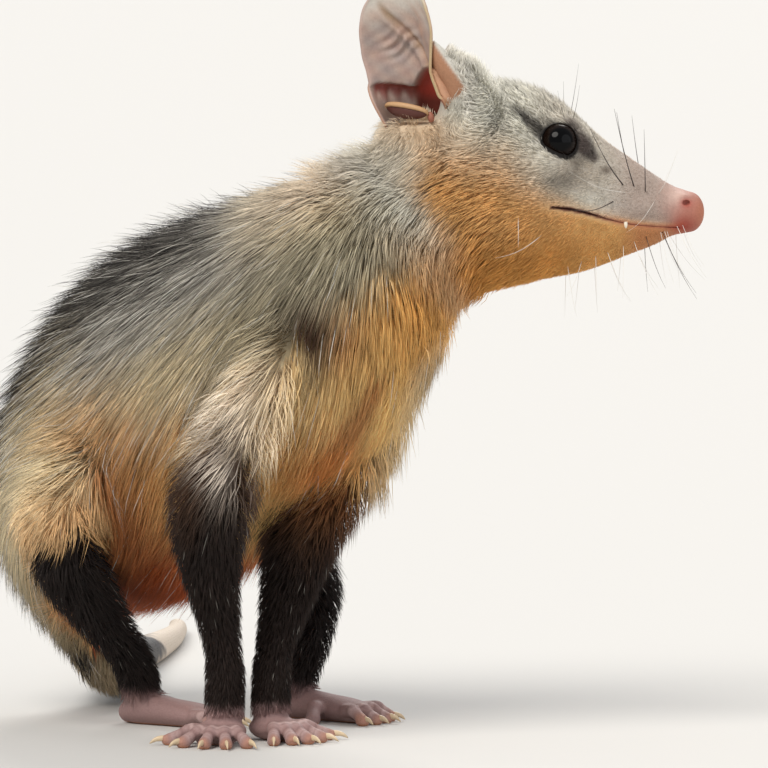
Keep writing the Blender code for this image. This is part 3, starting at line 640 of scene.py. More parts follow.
# Crown, cheeks, jaw and muzzle, and the stripe through the eye.
def headMarks(colours, points, at, inHead):
    flat = headPlaces(points)
    x, side, z = flat.T
    profile = points[:, (0, 2)]
    mixTo(colours, "crown", inHead)
    # Painted shade: the top of the brow is darkened to the tone under the eye.
    mixTo(colours, "underEyeAndBrowShade", 0.6 * inHead * fade(90, 105, x) * fade(196, 206, z))
    ahead = fade(100, 118, x)
    low = np.interp(x, cheekAt, cheekHeights)
    reach = np.interp(x, (90, 112), (15.0, 4.0))
    cheek = (1 - fade(86, 103, at)) * (1 - fade(low - reach, low + reach, z))
    mixTo(colours, "cheek", cheek * (0.25 + 0.75 * fade(50, 64, x)))
    mixTo(colours, "jaw", inHead * (1 - fade(160, 180, z)) * (1 - 0.4 * ahead))
    mixTo(colours, "muzzle", inHead * fade(112, 132, x) * fade(low - 2, low + 1, z) * 0.85)
    mixTo(colours, "underEyeAndBrowShade", inHead * np.minimum(1, 1.4 * blob(flat, (109, 15, 193), (14, 14, 8))))
    for start, end, near, wide in stripeParts:
        far, t = toLine(profile, start, end)
        half = near + (wide - near) * t
        soft = inHead * (side > 7) * (1 - fade(half * 0.5, half * 1.5 + 0.7, far))
        mixTo(colours, "stripe" if start[0] < 100 else "stripeSoft", 0.85 * soft)
    for name, share, centre, radii in faceSpots:
        mixTo(colours, name, inHead * share * blob(profile, centre, radii))
    crest = (1 - fade(2, 7, side)) * fade(66, 84, x) * (1 - fade(112, 124, x)) * fade(195, 206, z)
    mixTo(colours, "stripe", inHead * 0.3 * crest)
    muzzle = at < 30
    mixTo(colours, "lipOrange", fade(122, 134, x) * (1 - fade(low - 3, low - 0.5, z)) * muzzle * 0.8)
    mixTo(colours, "nose", fade(135, 147.5, x - 0.25 * np.abs(z - 181)) * muzzle)
    for name, share, centre, radii in noseSpots[:-1]:
        mixTo(colours, name, share * blob(flat, centre, radii) * muzzle)
    mouthMarks(colours, x, z, at)
    mixTo(colours, "black", 0.98 * (1 - fade(6.5, 7.5, fromEye(flat))))
    name, share, centre, radii = noseSpots[-1]
    mixTo(colours, name, share * blob(flat, centre, radii) * muzzle)


def mouthMarks(colours, x, z, at):
    line = fromMouth(x, z)
    thick = np.interp(x, lipAt, lipWidths)
    within = (x > 101.4) * (x < 147) * (z < 190)
    onMouth = (1 - fade(thick * 0.5, thick + 0.3, line)) * within * (at < 60)
    forward = fade(116, 126, x) * within * (at < 40)
    mixTo(colours, "lipOrange", 0.6 * (1 - fade(0.5, 2.2, line)) * forward)
    mixTo(colours, "lipRed", onMouth * (0.8 - 0.1 * fade(114, 126, x)))
    mixTo(colours, "mouth", onMouth * (1 - fade(114, 126, x)))


# Spots of colour on this animal's right side: tone, share, centre and radii. The last is painted shade where
# the fur parts on the neck.
sideSpots = [
    ("flank", 0.6, (24, -52, 112), (12, 16, 16)),
    ("rust", 0.5, (31, -50, 139), (7, 20, 8)),
    ("spot", 1.6, (22, -58, 141), (7.5, 24, 9)),
    ("spot", 0.7, (35, -42, 193), (7, 16, 4.5)),
]
# Lines of colour in x and z: the rusty fold behind the upper arm, and the dark front edge of the chest.
armFold = ((41, 128), (18, 89))
chestEdge = ((62, 128), (46, 84))
# Spots between foreleg and thigh, in x and z.
flankSpots = [
    ("underCoat", 0.7, (-42, 98), (19, 17)),
    ("rust", 0.85, (-40, 76), (15, 20)),
]


# The folds and spots of the right side, and the dark legs, by height.
def limbMarks(colours, points, field):
    x, y, z = points.T
    profile = points[:, (0, 2)]
    for name, share, centre, radii in sideSpots:
        mixTo(colours, name, np.minimum(1, share * blob(points, centre, radii)))
    far, t = toLine(profile, *armFold)
    mixTo(colours, "rust", 0.6 * (y < -12) * (1 - fade(0.5, 3.5 + 4 * t, far)))
    fore = onChains(field, "foreleg_right", "foreleg_left")
    mixTo(colours, "upperArm", 0.95 * blob(points, (-8, -58, 112), (16, 22, 20)))
    far, t = toLine(profile, *chestEdge)
    mixTo(colours, "white", 0.3 * (1 - fade(9, 15, far)))
    mixTo(colours, "leg", 0.85 * (1 - fade(5, 10, far)))
    wobble = 4 * np.sin(x * 0.35 + 1) + 3 * np.sin(y * 0.5) + 2.5 * np.sin(x * 1.3 + y * 0.9)
    elbow = np.where(y < -28, 100 - 0.3 * (x + 10), 88)
    mixTo(colours, "spot", fore * (1 - fade(elbow - 8, elbow + 9, z + wobble)))
    mixTo(colours, "leg", fore * (1 - fade(elbow - 34, elbow - 8, z + wobble)) * 0.93)
    mixTo(colours, "upperArm", 0.8 * fore * (y < -28) * blob(profile, (-9.5, 94), (3.4, 9)))
    knee = np.where(y < 40, 76, 68)
    shin = 1 - fade(knee - 9, knee + 5, z + 0.6 * wobble)
    mixTo(colours, "leg", onChains(field, "shin_right", "shin_left") * shin)
    thigh = fade(52, 72, field["at"]) * (1 - fade(72, 84, z + wobble))
    mixTo(colours, "leg", onChains(field, "thigh_right", "thigh_left") * thigh * 0.92)
    mixTo(colours, "armpit", 0.8 * blob(points, (24, -22, 96), (15, 16, 17)))
    for name, share, centre, radii in flankSpots:
        mixTo(colours, name, share * onChains(field, "spine") * (y < 40) * blob(profile, centre, radii))


# The colour of skin or coat at points in millimetres. How dark the hairs' tips are comes with it.
def markings(points, field, hair=False):
    z = points[:, 2]
    at = field["spineAt"]
    inHead = 1 - fade(96, 118, at)
    colours = np.tile(tone["flank"], (len(points), 1))
    tips = trunkMarks(colours, points, at, np.abs(field["spineAngle"]))
    tips *= 1 - 0.75 * inHead
    headMarks(colours, points, at, inHead)
    limbMarks(colours, points, field)
    tips *= 1 - onChains(field, "foreleg_right", "foreleg_left") * (z < 84) * 0.9
    tail = onChains(field, "tail")
    mixTo(colours, "tailFur", tail)
    footShades(colours, points, (1 - fade(10, 14, z)) * ~tail)
    mixTo(colours, "pad", 0.8 * (1 - fade(0.3, 1.0, z)) * ~tail)
    root = blob(points, (*ear["base"][:2], ear["base"][2] - 6), (12, 14, 6))
    mixTo(colours, "cheek", 0.6 * root * (points[:, 1] < faceY))
    front, fuzz = earFront(points)
    mixTo(colours, "white", 0.85 * np.maximum(fuzz, front * hair))
    mixTo(colours, "earFront", front * (not hair))
    return colours, np.clip(tips, 0, 1)


def paint(piece, colours, name="tint"):
    layer = piece.data.color_attributes.new(name, "FLOAT_COLOR", "POINT")
    values = np.ones((len(piece.data.vertices), 4))
    values[:, :3] = colours
    layer.data.foreach_set("color", values.ravel())


def pointsOf(piece):
    points = np.empty(len(piece.data.vertices) * 3)
    piece.data.vertices.foreach_get("co", points)
    return points.reshape(-1, 3) / mm + middle


# Effects that several materials share.
def newGroup(name, inputs, outputs):
    group = bpy.data.node_groups.new(name, "ShaderNodeTree")
    for label, kind, value in inputs:
        socket = group.interface.new_socket(label, in_out="INPUT", socket_type=kind)
        socket.default_value = value
    for label, kind in outputs:
        group.interface.new_socket(label, in_out="OUTPUT", socket_type=kind)
    return group, group.nodes.new("NodeGroupInput"), group.nodes.new("NodeGroupOutput")


# Fine creases and pores in bare skin or short fur, with a tint that varies with them.
def grainGroup():
    group, enter, leave = newGroup(
        "grain",
        [
            ("Tint", "NodeSocketColor", (0.5, 0.5, 0.5, 1)),
            ("Scale", "NodeSocketFloat", 900.0),
            ("Contrast", "NodeSocketFloat", 0.25),
        ],
        [("Colour", "NodeSocketColor"), ("Height", "NodeSocketFloat")],
    )
    nodes, links = group.nodes, group.links
    where = nodes.new("ShaderNodeTexCoord")
    noise = nodes.new("ShaderNodeTexNoise")
    noise.inputs["Detail"].default_value = 6
    noise.inputs["Roughness"].default_value = 0.62
    links.new(where.outputs["Object"], noise.inputs["Vector"])
    links.new(enter.outputs["Scale"], noise.inputs["Scale"])
    centred = nodes.new("ShaderNodeMath")
    centred.operation = "SUBTRACT"
    centred.inputs[1].default_value = 0.5
    links.new(noise.outputs["Fac"], centred.inputs[0])
    share = nodes.new("ShaderNodeMath")
    share.operation = "MULTIPLY_ADD"
    share.inputs[2].default_value = 1.0
    links.new(centred.outputs[0], share.inputs[0])
    links.new(enter.outputs["Contrast"], share.inputs[1])
    shade = nodes.new("ShaderNodeVectorMath")
    shade.operation = "SCALE"
    links.new(enter.outputs["Tint"], shade.inputs[0])
    links.new(share.outputs[0], shade.inputs["Scale"])
    links.new(shade.outputs[0], leave.inputs["Colour"])
    links.new(noise.outputs["Fac"], leave.inputs["Height"])
    return group


grain = grainGroup()


def bodyMaterial(name, roughness, specular=0.4, scale=None, contrast=0.25, bump=0.3, depth=0.3):
    material = bpy.data.materials.new(name)
    material.use_nodes = True
    nodes, links = material.node_tree.nodes, material.node_tree.links
    shader = nodes["Principled BSDF"]
    shader.inputs["Roughness"].default_value = roughness
    shader.inputs["Specular IOR Level"].default_value = specular
    tint = nodes.new("ShaderNodeAttribute")
    tint.attribute_name = "tint"
    if scale is None:
        links.new(tint.outputs["Color"], shader.inputs["Base Color"])
        return material
    effect = nodes.new("ShaderNodeGroup")
    effect.node_tree = grain
    effect.inputs["Scale"].default_value = scale
    effect.inputs["Contrast"].default_value = contrast
    links.new(tint.outputs["Color"], effect.inputs["Tint"])
    links.new(effect.outputs["Colour"], shader.inputs["Base Color"])
    raised = nodes.new("ShaderNodeBump")
    raised.inputs["Strength"].default_value = bump
    raised.inputs["Distance"].default_value = depth * mm
    links.new(effect.outputs["Height"], raised.inputs["Height"])
    links.new(raised.outputs["Normal"], shader.inputs["Normal"])
    return material


skinFinish = bodyMaterial("skinFinish", 0.6, scale=1400, contrast=0.5, bump=0.5, depth=0.35, specular=0.18)
coatFinish = bodyMaterial("coatFinish", 0.62, specular=0.3)
hornFinish = bodyMaterial("hornFinish", 0.35, scale=700, contrast=0.4, bump=0.2, depth=0.1)
earFinish = bodyMaterial("earFinish", 0.5, scale=1100, contrast=0.35, bump=0.45, depth=0.3)

# Ears: thin bare leaves, curled into a funnel at the root, with a ledge, creases and folds in the cup.
ear = {
    "base": (56.0, -34.5, 213.5),
    "axis": (-0.165, -0.22, 0.955),
    "faces": (-0.52, -0.85, 0.0),
    "height": 47.0,
    "thick": 0.9,
    "setBack": 6.0,
    "rounded": 0.06,
    "ledge": 3.0,
    "opening": 2.0,
    "flap": ((-0.8, 3.3, 2.0), (7.8, 2.4, 2.7)),
    "flapRim": 0.85,
    "knob": ((7.3, 2.2, -1.0), (1.2, 1.2, 1.9)),
}
# Half width and half angle of the curl at shares of the ear's height.
earRings = [
    (-0.06, 0, 0, 8.5, 118),
    (0.12, 0, 0, 10.5, 108),
    (0.3, 0, 0, 12.8, 84),
    (0.5, 0, 0, 14.4, 66),
    (0.7, 0, 0, 14.8, 54),
    (0.86, 0, 0, 12.4, 46),
    (0.95, 0, 0, 8.4, 42),
    (1.0, 0, 0, 3.2, 40),
]
earTable = readRows(earRings, 120)


def earFrame(sign):
    base, axis, faces = (Vector(ear[key]) for key in ("base", "axis", "faces"))
    axis.normalize()
    if sign > 0:
        base.y = 2 * faceY - base.y
        axis.y, faces.y = -axis.y, -faces.y
    faces = (faces - faces.dot(axis) * axis).normalized()
    return base, axis, faces, axis.cross(faces)


# How far a place on an ear stands forward of its root as the side shows it.
def earSeen(high, aside, ahead):
    return 0.853 * aside - 0.505 * ahead - 0.17 * high


# Places about an ear's root, on its own axes: up it, towards its front edge and out of the cup.
def earPlaces(points):
    base, axis, faces, across = (np.array(part) for part in earFrame(-1))
    off = np.stack([points[:, 0], faceY - np.abs(points[:, 1] - faceY), points[:, 2]], 1) - base
    return off @ axis, off @ across, off @ faces


# The bare skin in front of each ear's cup, a triangle seen from the side, and the white fuzz along its top.
def earFront(points):
    high, aside, ahead = earPlaces(points)
    seen = earSeen(high, aside, ahead)
    top = 25 - 1.52 * (seen - 5.8)
    low = 3.0 + 0.45 * (seen - 8.6)
    inside = (aside > 3) * (1 - fade(18, 21, seen)) * (high < 32) * (ahead > -12)
    front = inside * fade(-1, 1, top - high) * fade(-1, 1, high - low)
    fuzz = inside * (1 - fade(5, 12, np.abs(high - top))) * (1 - front)
    return front, fuzz


# The yellowish crease that runs down the cup from its back edge to the front.
def creaseAt(u):
    return np.interp(u, (-0.7, -0.45, 0.13, 0.57, 0.85), (0.84, 0.727, 0.47, 0.374, 0.33))


def ledgeHeight(u):
    return np.interp(u, (-1, -0.8, -0.3, 0.1, 0.5), (0.265, 0.252, 0.19, 0.15, 0.13))


# The dark red opening at the foot of the cup, behind its front edge.
def slotAt(high, aside, ahead, u):
    seen = earSeen(high, aside, ahead)
    left = np.interp(high, (-0.5, 5.6, 9, 12.4, 15.4), (0.8, 0.3, 1.4, 3.0, 4.9))
    within = (u > -0.2) * (1 - fade(0.86, 0.94, u)) * (1 - fade(14.5, 16, high))
    return fade(-0.5, 0.5, seen - left) * within


# How far the front half of the cup stands aside of a plain curl: narrow above and wide at its foot.
def frontShift(u, v):
    aside = np.interp(v, (0.04, 0.09, 0.17, 0.34, 0.8, 1), (3.2, 2.6, 0.6, -2.4, -2.6, -1.2))
    return aside * fade(0.05, 0.55, u)


# How far the cup's surface stands inwards at its own coordinates, u towards the front edge on both ears.
def earRelief(u, v, gape):
    inner = 1 - u * u
    ledgeAt = ledgeHeight(u)
    ledge = fade(0.5, ledgeAt + 0.035, v) * fade(ledgeAt - 0.012, ledgeAt + 0.012, v)
    ledge *= ear["ledge"] * inner**0.5
    crease = 0.9 * np.exp(-(((v - creaseAt(u) + 0.06) / 0.035) ** 2))
    crease -= 1.3 * np.exp(-(((v - creaseAt(u)) / 0.03) ** 2))
    crease *= fade(-0.75, -0.45, u) * inner
    folds = 0.8 * np.sin(v * 76 - 13 * u + 2 * np.sin(u * 7 + v * 9))
    folds *= np.exp(-(((v - 0.48) / 0.1) ** 2) - ((u + 0.22) / 0.34) ** 2)
    pleats = 0.45 * np.sin(u * 26) * np.exp(-(((v - 0.14) / 0.07) ** 2)) * (np.abs(u) < 0.7)
    waves = 0.35 * np.sin(v * 17 + 3.1 * u) * np.sin(u * 5 + 1) * fade(0.3, 0.6, v)
    return (ledge + pleats) * (1 - gape) - ear["opening"] * gape + crease + folds + waves


def earPoint(u, v, sign, turned):
    base, axis, faces, across = turned
    _, _, _, wide, curl = (np.interp(v, earTable[:, 0], column) for column in earTable.T)
    opened = (1 - fade(0.1, 0.45, v)) * (u > 0)
    radius = wide / math.sin(math.radians(min(curl, 90))) * (1 + 0.15 * opened)
    curl = math.radians(curl) * (1 - 0.24 * opened)
    inward = radius * (1 - math.cos(u * curl)) - ear["setBack"]
    high = v * ear["height"] * (1 - ear["rounded"] * u * u)
    tuck = float((1 - fade(0.0, 0.14, v)) * fade(0.5, 0.95, u))
    aside = radius * math.sin(u * curl) + float(frontShift(u, v)) - 2 * tuck
    inward -= 4 * tuck
    forward = across if sign < 0 else -across
    out = forward * math.sin(u * curl) + faces * -math.cos(u * curl)
    gape = float(slotAt(high, aside, inward, u))
    spot = base + axis * high + forward * aside + faces * inward - out * float(earRelief(u, v, gape))
    return spot, gape


def earColours(u, v, gape, back):
    colours = np.tile(linear((156, 143, 136)), (len(u), 1))
    mixRgb(colours, (208, 202, 192), fade(0.5, 0.95, v))
    crease = np.exp(-(((v - creaseAt(u)) / 0.04) ** 2)) * fade(-0.75, -0.45, u)
    mixRgb(colours, (150, 118, 78), 0.75 * crease)
    mottle = 0.5 + 0.5 * np.sin(v * 31 + 4 * u) * np.sin(u * 9 + 11 * v)
    mixRgb(colours, (180, 146, 128), 0.6 * mottle * (1 - fade(0.7, 0.9, v)))
    second = 0.5 + 0.5 * np.sin(u * 13 - v * 23 + 1) * np.sin(v * 41 + u * 5)
    mixRgb(colours, (122, 100, 100), 0.4 * second * (1 - fade(0.6, 0.8, v)))
    mixRgb(colours, (196, 150, 124), 0.5 * np.exp(-(((u - 0.42) / 0.16) ** 2) - ((v - 0.6) / 0.05) ** 2))
    mixRgb(colours, (186, 166, 120), 0.75 * fade(0.84, 0.97, u) * (1 - fade(0.8, 0.95, v)))
    mixRgb(colours, (178, 150, 140), 0.6 * fade(0.88, 1.0, -u))
    under = v - ledgeHeight(u)
    pleat = 0.6 + 0.4 * np.sin(u * 26)
    pale = fade(-0.16, -0.08, under) * (1 - fade(-0.06, -0.03, under)) * (1 - pleat)
    mixRgb(colours, (200, 172, 160), 0.6 * pale)
    # Painted shade in the ear's dark red, under the ledge's overhang and down between its pleats.
    red = fade(-0.06 - 0.12 * pleat, -0.03, under) * (1 - fade(-0.004, 0.008, under))
    red *= 1 - fade(0.8, 0.95, -u)
    mixRgb(colours, (122, 46, 36), 0.92 * red * (1 - back))
    mixRgb(colours, (156, 54, 40), 0.96 * gape * (1 - back))
    # Painted shade: the opening darkens towards its foot, deep in the funnel.
    mixRgb(colours, (70, 28, 22), 0.8 * gape * (1 - fade(0.02, 0.14, v)) * (1 - back))
    mixRgb(colours, (188, 138, 106), 0.85 * back * (1 - fade(0.25, 0.6, v)))
    mixRgb(colours, (176, 140, 124), 0.7 * back * fade(0.4, 0.7, v))
    return colours


def mixRgb(colours, colour, share):
    colours += (linear(colour) - colours) * share[:, None]


# Colours of the flap, its rim and the knob at its front, by the number that marks them on the mesh. The
# flap's dark red-brown is painted shade below its pale rim.
earParts = {2: (78, 38, 30), 3: (186, 148, 108), 4: (156, 100, 82)}


# The small flap across the foot of the cup.
def addEarFlap(bm, turned, sign, kind):
    base, axis, faces, across = turned
    (aside, ahead, high), (long, deep, thick) = ear["flap"]
    forward = across if sign < 0 else -across
    for vertex in bmesh.ops.create_uvsphere(bm, u_segments=28, v_segments=18, radius=1)["verts"]:
        x, y, z = vertex.co
        spot = base + forward * (aside + long * x) + faces * (ahead + deep * y + 1.2 * (1 - x * x))
        vertex.co = Vector(toScene(spot + axis * (high + thick * z - 1.2 * x)))
        vertex[kind] = (0, 0, 2)
    before = set(bm.verts)
    rows = []
    for turn in np.linspace(-1.75, 1.75, 20):
        x, z = math.sin(turn), math.cos(turn)
        spot = base + forward * (aside + long * x) + faces * (ahead + 1.4 * z + 1.2 * (1 - x * x))
        radius = ear["flapRim"] * (0.45 + 0.55 * max(z, 0.0) ** 0.5)
        rows.append((*(spot + axis * (high + thick * 0.95 * z - 1.2 * x)), radius * 1.2, radius))
    addTube(bm, rows, faces, 12)
    for vertex in bm.verts:
        if vertex not in before:
            vertex[kind] = (0, 0, 3)
    (aside, ahead, high), sizes = ear["knob"]
    for vertex in bmesh.ops.create_uvsphere(bm, u_segments=16, v_segments=10, radius=1)["verts"]:
        x, y, z = (a * r for a, r in zip(vertex.co, sizes))
        vertex.co = Vector(toScene(base + forward * (aside + x) + faces * (ahead + y) + axis * (high + z)))
        vertex[kind] = (0, 0, 4)


def makeEars():
    for name, sign in (("earRight", -1), ("earLeft", 1)):
        turned = earFrame(sign)
        bm = bmesh.new()
        local = bm.verts.layers.float_vector.new("local")
        for vertex in bmesh.ops.create_grid(bm, x_segments=56, y_segments=110, size=1)["verts"]:
            u, v = vertex.co.x, math.sin((vertex.co.y + 1) * math.pi / 4)
            low = -0.06 + 0.07 * fade(0.55, 1.0, u)
            v = low + (1 - low) * v
            spot, gape = earPoint(u, v, sign, turned)
            vertex[local] = (u, v, gape)
            vertex.co = Vector(toScene(spot))
        bmesh.ops.recalc_face_normals(bm, faces=bm.faces)
        middleFace = min(bm.faces, key=lambda f: (f.verts[0][local] - Vector((0, 0.6, 0))).xy.length)
        if middleFace.normal.dot(turned[2]) < 0:
            bmesh.ops.reverse_faces(bm, faces=bm.faces)
        fronts = {tuple(vertex[local]): vertex.co.copy() for vertex in bm.verts}
        shell = bmesh.ops.solidify(bm, geom=bm.faces[:], thickness=ear["thick"] * mm)
        back = {g for g in shell["geom"] if isinstance(g, bmesh.types.BMVert)}
        for vertex in back:
            front = fronts[tuple(vertex[local])]
            vertex.co = front + (vertex.co - front).normalized() * ear["thick"] * mm
        addEarFlap(bm, turned, sign, local)
        u, v, gape, behind = np.array([[*v[local], v in back] for v in bm.verts], float).T
        colours = earColours(u, v, np.minimum(gape, 1), behind)
        for kind, colour in earParts.items():
            colours[gape == kind] = linear(colour)
        leaf = makeObject(name, bm, earFinish)
        paint(leaf, colours)
        leaf.data.attributes.remove(leaf.data.attributes["local"])
        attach(leaf, "root")
        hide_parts("ear_right" if sign < 0 else "ear_left")


# The body's skin. The head and the feet are finer than the trunk, and all are one surface in the end.
skinFine = {"body": 2.0, "head": 0.82, "foot": 0.66}
eye = {"x": 104.4, "out": 15.2, "z": 203.6, "radius": 6.4}
lids = {"faces": (0.12, 0.95, 0.22), "long": 6.6, "high": 5.95, "out": 2.6, "thick": 0.5, "tilt": -28}
mouthLine = [
    (102.0, 181.9),
    (108.0, 181.2),
    (114.0, 179.8),
    (121.4, 177.5),
    (129.5, 175.7),
    (137.7, 174.9),
    (142.7, 174.6),
    (146.0, 174.4),
]
lips = {"radius": 1.1, "offset": 1.15, "sunk": 0.45}
# Half depth and half height of the open line between the lips at places along it.
grooveAt = (101, 108, 114, 120, 127, 138, 147)
grooveDepths = (0.8, 0.8, 0.75, 0.6, 0.5, 0.5, 0.6)
grooveHeights = (0.1, 0.34, 0.27, 0.16, 0.1, 0.09, 0.2)
nosePad = ((149.2, 0.0, 179.6), (5.2, 6.4, 7.0))
# Soft forms laid over the head's plain shape on each side: centre with y from the mirror plane, radii.
headForms = [
    ((104, 11.0, 203), (12, 8, 8.5)),
    ((95, 15.5, 196), (15, 9.5, 8)),
    ((128, 5.6, 181), (13, 6, 6)),
    ((137, 4.6, 180), (8, 4.8, 5)),
    ((146.2, 4.4, 184.6), (2.8, 2.4, 1.7)),
]
nostril = {"x": 147.9, "z": 182.9, "radii": (1.35, 1.7, 0.95)}


def eyeCentre(sign):
    return Vector((eye["x"], faceY + sign * eye["out"], eye["z"]))


def addLids(bm, sign):
    ahead, out, rise = lids["faces"]
    outward = Vector((ahead, sign * out, rise)).normalized()
    tilt = math.radians(lids["tilt"])
    along = Vector((math.cos(tilt), 0, math.sin(tilt)))
    along = (along - along.dot(outward) * outward).normalized()
    across = outward.cross(along)
    rows = []
    for step in range(28):
        turn = math.tau * step / 28
        spot = eyeCentre(sign) + outward * lids["out"]
        spot += along * lids["long"] * math.cos(turn) + across * lids["high"] * math.sin(turn)
        rows.append((*spot, lids["thick"] * 1.3, lids["thick"]))
    addTube(bm, rows, outward, 10, closed=True)


def plainHead():
    bm = bmesh.new()
    addSpine(bm, 0, headEnd + 6, 2.0, sides=72)
    return bm


def sidePoint(tree, x, z, sign):
    hit = tree.ray_cast(Vector(toScene((x, faceY, z))), Vector((0, sign, 0)))[0]
    return np.array(hit) / mm + middle


def mouthRows(tree, sign, rise, wide, high, sunk, start=0.0, end=1.0):
    rows = []
    for x, z in readRows([(x, 0, z) for x, z in mouthLine], 28, start, end)[:, (0, 2)]:
        spot = sidePoint(tree, x, z + rise, sign)
        rows.append((spot[0], spot[1] - sign * sunk, spot[2], wide, high))
    return rows


# The root of each ear: a mound, and a flare that rises in front of the cup. Places on the ear's own axes.
earMound = [(-20, 0, -1, 15), (-14, -1, -1, 13.5), (-8, -1.5, -1, 11.6), (-3.5, -1.5, -1.5, 9.6)]
earFlare = [
    (-12, 13, -8, 12.5),
    (0, 16, -7.5, 9.4),
    (10, 15.8, -4.5, 6.4),
    (18, 13.1, -1.0, 3.9),
    (25, 12.6, 1.0, 0.8),
]


def addEarMound(bm, sign):
    base, axis, faces, across = earFrame(sign)
    for part in (earMound, earFlare):
        rows = []
        for high, aside, ahead, radius in part:
            forward = across * aside if sign < 0 else -across * aside
            rows.append((*(base + axis * high + forward + faces * ahead), radius, radius))
        addTube(bm, readRows(rows, 14), faces, 24)


def makeHeadSkin():
    plain = plainHead()
    bmesh.ops.recalc_face_normals(plain, faces=plain.faces)
    tree = BVHTree.FromBMesh(plain)
    for sign in (-1, 1):
        addLids(plain, sign)
        for (x, y, z), radii in headForms:
            addBall(plain, (x, faceY + sign * y, z), radii)
        addEarMound(plain, sign)
        for rise in (lips["offset"], -lips["offset"]):
            rows = mouthRows(tree, sign, rise, lips["radius"], lips["radius"], lips["sunk"], 0.03, 0.9)
            addTube(plain, rows, Vector((0, 1, 0)), 10)
    addBall(plain, (nosePad[0][0], faceY, nosePad[0][2]), nosePad[1])
    head = meltTogether("headSkin", plain, skinFine["head"], 4)
    cutters = bmesh.new()
    for sign in (-1, 1):
        groove = []
        for x, y, z, _, _ in mouthRows(tree, sign, 0, 1, 1, 0):
            deep, high = np.interp(x, grooveAt, grooveDepths), np.interp(x, grooveAt, grooveHeights)
            groove.append((x, y, z, deep, high))
        addTube(cutters, groove, Vector((0, 1, 0)), 10)
        addBall(cutters, eyeCentre(sign), [eye["radius"] + 0.15] * 3, 40, 24)
        spot = sidePoint(tree, nostril["x"], nostril["z"], sign)
        addBall(cutters, spot, nostril["radii"], 20, 12, turn=sign * 25)
    combine(head, [makeObject("cutters", cutters)], "DIFFERENCE")
    smoothPiece(head, 1)
    return head


# Feet: palms and soles with knuckled digits and pads, melted together with the wrist or ankle.
foreFeet = {
    "foreleg_right": ((-9.5, -35.0), (198, 227, 253, 276, 299)),
    "foreleg_left": ((8.0, -24.0), (271, 291, 310, 331, 356)),
}
palm = {"radii": (8.6, 8.0, 4.4), "height": 4.2}
digit = {"length": 17.0, "from": 4.0, "radius": 2.25, "claw": 4.4, "clawRadius": 0.85}
# Rings of a digit: share of its length, height over the floor, share of its radius.
digitRings = [
    (0, 4.4, 1.15),
    (0.22, 4.9, 1.0),
    (0.42, 4.8, 1.12),
    (0.6, 3.6, 0.9),
    (0.78, 2.3, 1.0),
    (1.0, 1.7, 0.7),
]
clawRings = [(-0.4, 2.2, 1.0), (0.1, 2.4, 0.95), (0.5, 2.1, 0.7), (0.8, 1.4, 0.45), (1.0, 0.75, 0.12)]
hindFeet = {"shin_right": ((-45.0, 29.5), -30, 1), "shin_left": ((8.5, 47.5), -33, -1)}
soleRings = [(0, 3.6, 3.0), (4, 5.8, 5.0), (12, 6.4, 5.4), (22, 7.0, 4.8), (31, 8.0, 4.2), (37, 7.0, 3.4)]
toes = {
    "lengths": (11.0, 13.0, 13.0, 11.5),
    "from": 32.0,
    "apart": 4.2,
    "spread": 11,
    "radius": 2.2,
    "claw": 3.8,
}
thumb = {"from": 18.0, "inward": 3.0, "spread": 62, "length": 16.0, "radius": 2.6}


def addDigit(bm, claws, start, heading, length, radius, claw):
    way = Vector((math.cos(math.radians(heading)), math.sin(math.radians(heading)), 0))
    side = Vector((-way.y, way.x, 0))
    rows = []
    for share, high, size in digitRings:
        rows.append((*(start + way * length * share + Vector((0, 0, high))), radius * size, radius * size))
    addTube(bm, readRows(rows, 12), side, 14)
    tip = start + way * length * 0.84 + Vector((0, 0, radius * 0.62))
    addBall(bm, tip, (radius * 1.25, radius * 1.15, radius * 0.8), 12, 8, turn=heading)
    if claw:
        rows = []
        for share, high, size in clawRings:
            spot = start + way * (length + claw * share) + Vector((0, 0, high))
            thick = digit["clawRadius"] * size
            rows.append((*spot, thick * 0.8, thick * 1.25))
        addTube(claws, readRows(rows, 9), side, 10)


def addForeFoot(bm, claws, name):
    (x, y), headings = foreFeet[name]
    addBall(bm, (x, y, palm["height"]), palm["radii"])
    for heading in headings:
        way = Vector((math.cos(math.radians(heading)), math.sin(math.radians(heading)), 0))
        start = Vector((x, y, 0)) + way * digit["from"]
        addDigit(bm, claws, start, heading, digit["length"], digit["radius"], digit["claw"])
    for first, second in zip(headings, headings[1:]):
        turn = math.radians((first + second) / 2)
        addBall(bm, (x + 7.5 * math.cos(turn), y + 7.5 * math.sin(turn), 1.9), (2.6, 2.6, 2.0), 12, 8)


def addHindFoot(bm, claws, name):
    heel, heading, inner = hindFeet[name]
    turn = math.radians(heading)
    way = Vector((math.cos(turn), math.sin(turn), 0))
    side = Vector((-way.y, way.x, 0))
    origin = Vector((*heel, 0))
    rows = [(*(origin + way * at + Vector((0, 0, high - 0.4))), wide, high) for at, wide, high in soleRings]
    addTube(bm, readRows(rows, 16), side, 20)
    for step, length in enumerate(toes["lengths"]):
        place = step - (len(toes["lengths"]) - 1) / 2
        start = origin + way * toes["from"] - side * place * toes["apart"]
        addDigit(bm, claws, start, heading - place * toes["spread"], length, toes["radius"], toes["claw"])
    start = origin + way * thumb["from"] + side * inner * thumb["inward"]
    addDigit(bm, claws, start, heading + inner * thumb["spread"], thumb["length"], thumb["radius"], 0)


def makeFeet(claws):
    feet = []
    for name in (*foreFeet, *hindFeet):
        bm = bmesh.new()
        rows = legRows[name]
        share = 1 - 22 / rowLengths(rows)[-1]
        addLimb(bm, rows, share, 1.0, 2.5, 28)
        if name in foreFeet:
            addForeFoot(bm, claws, name)
        else:
            addHindFoot(bm, claws, name)
        foot = meltTogether(name + "Foot", bm, skinFine["foot"], 3)
        for vertex in foot.data.vertices:
            vertex.co.z = max(vertex.co.z, 0.0)
        feet.append(foot)
    return feet


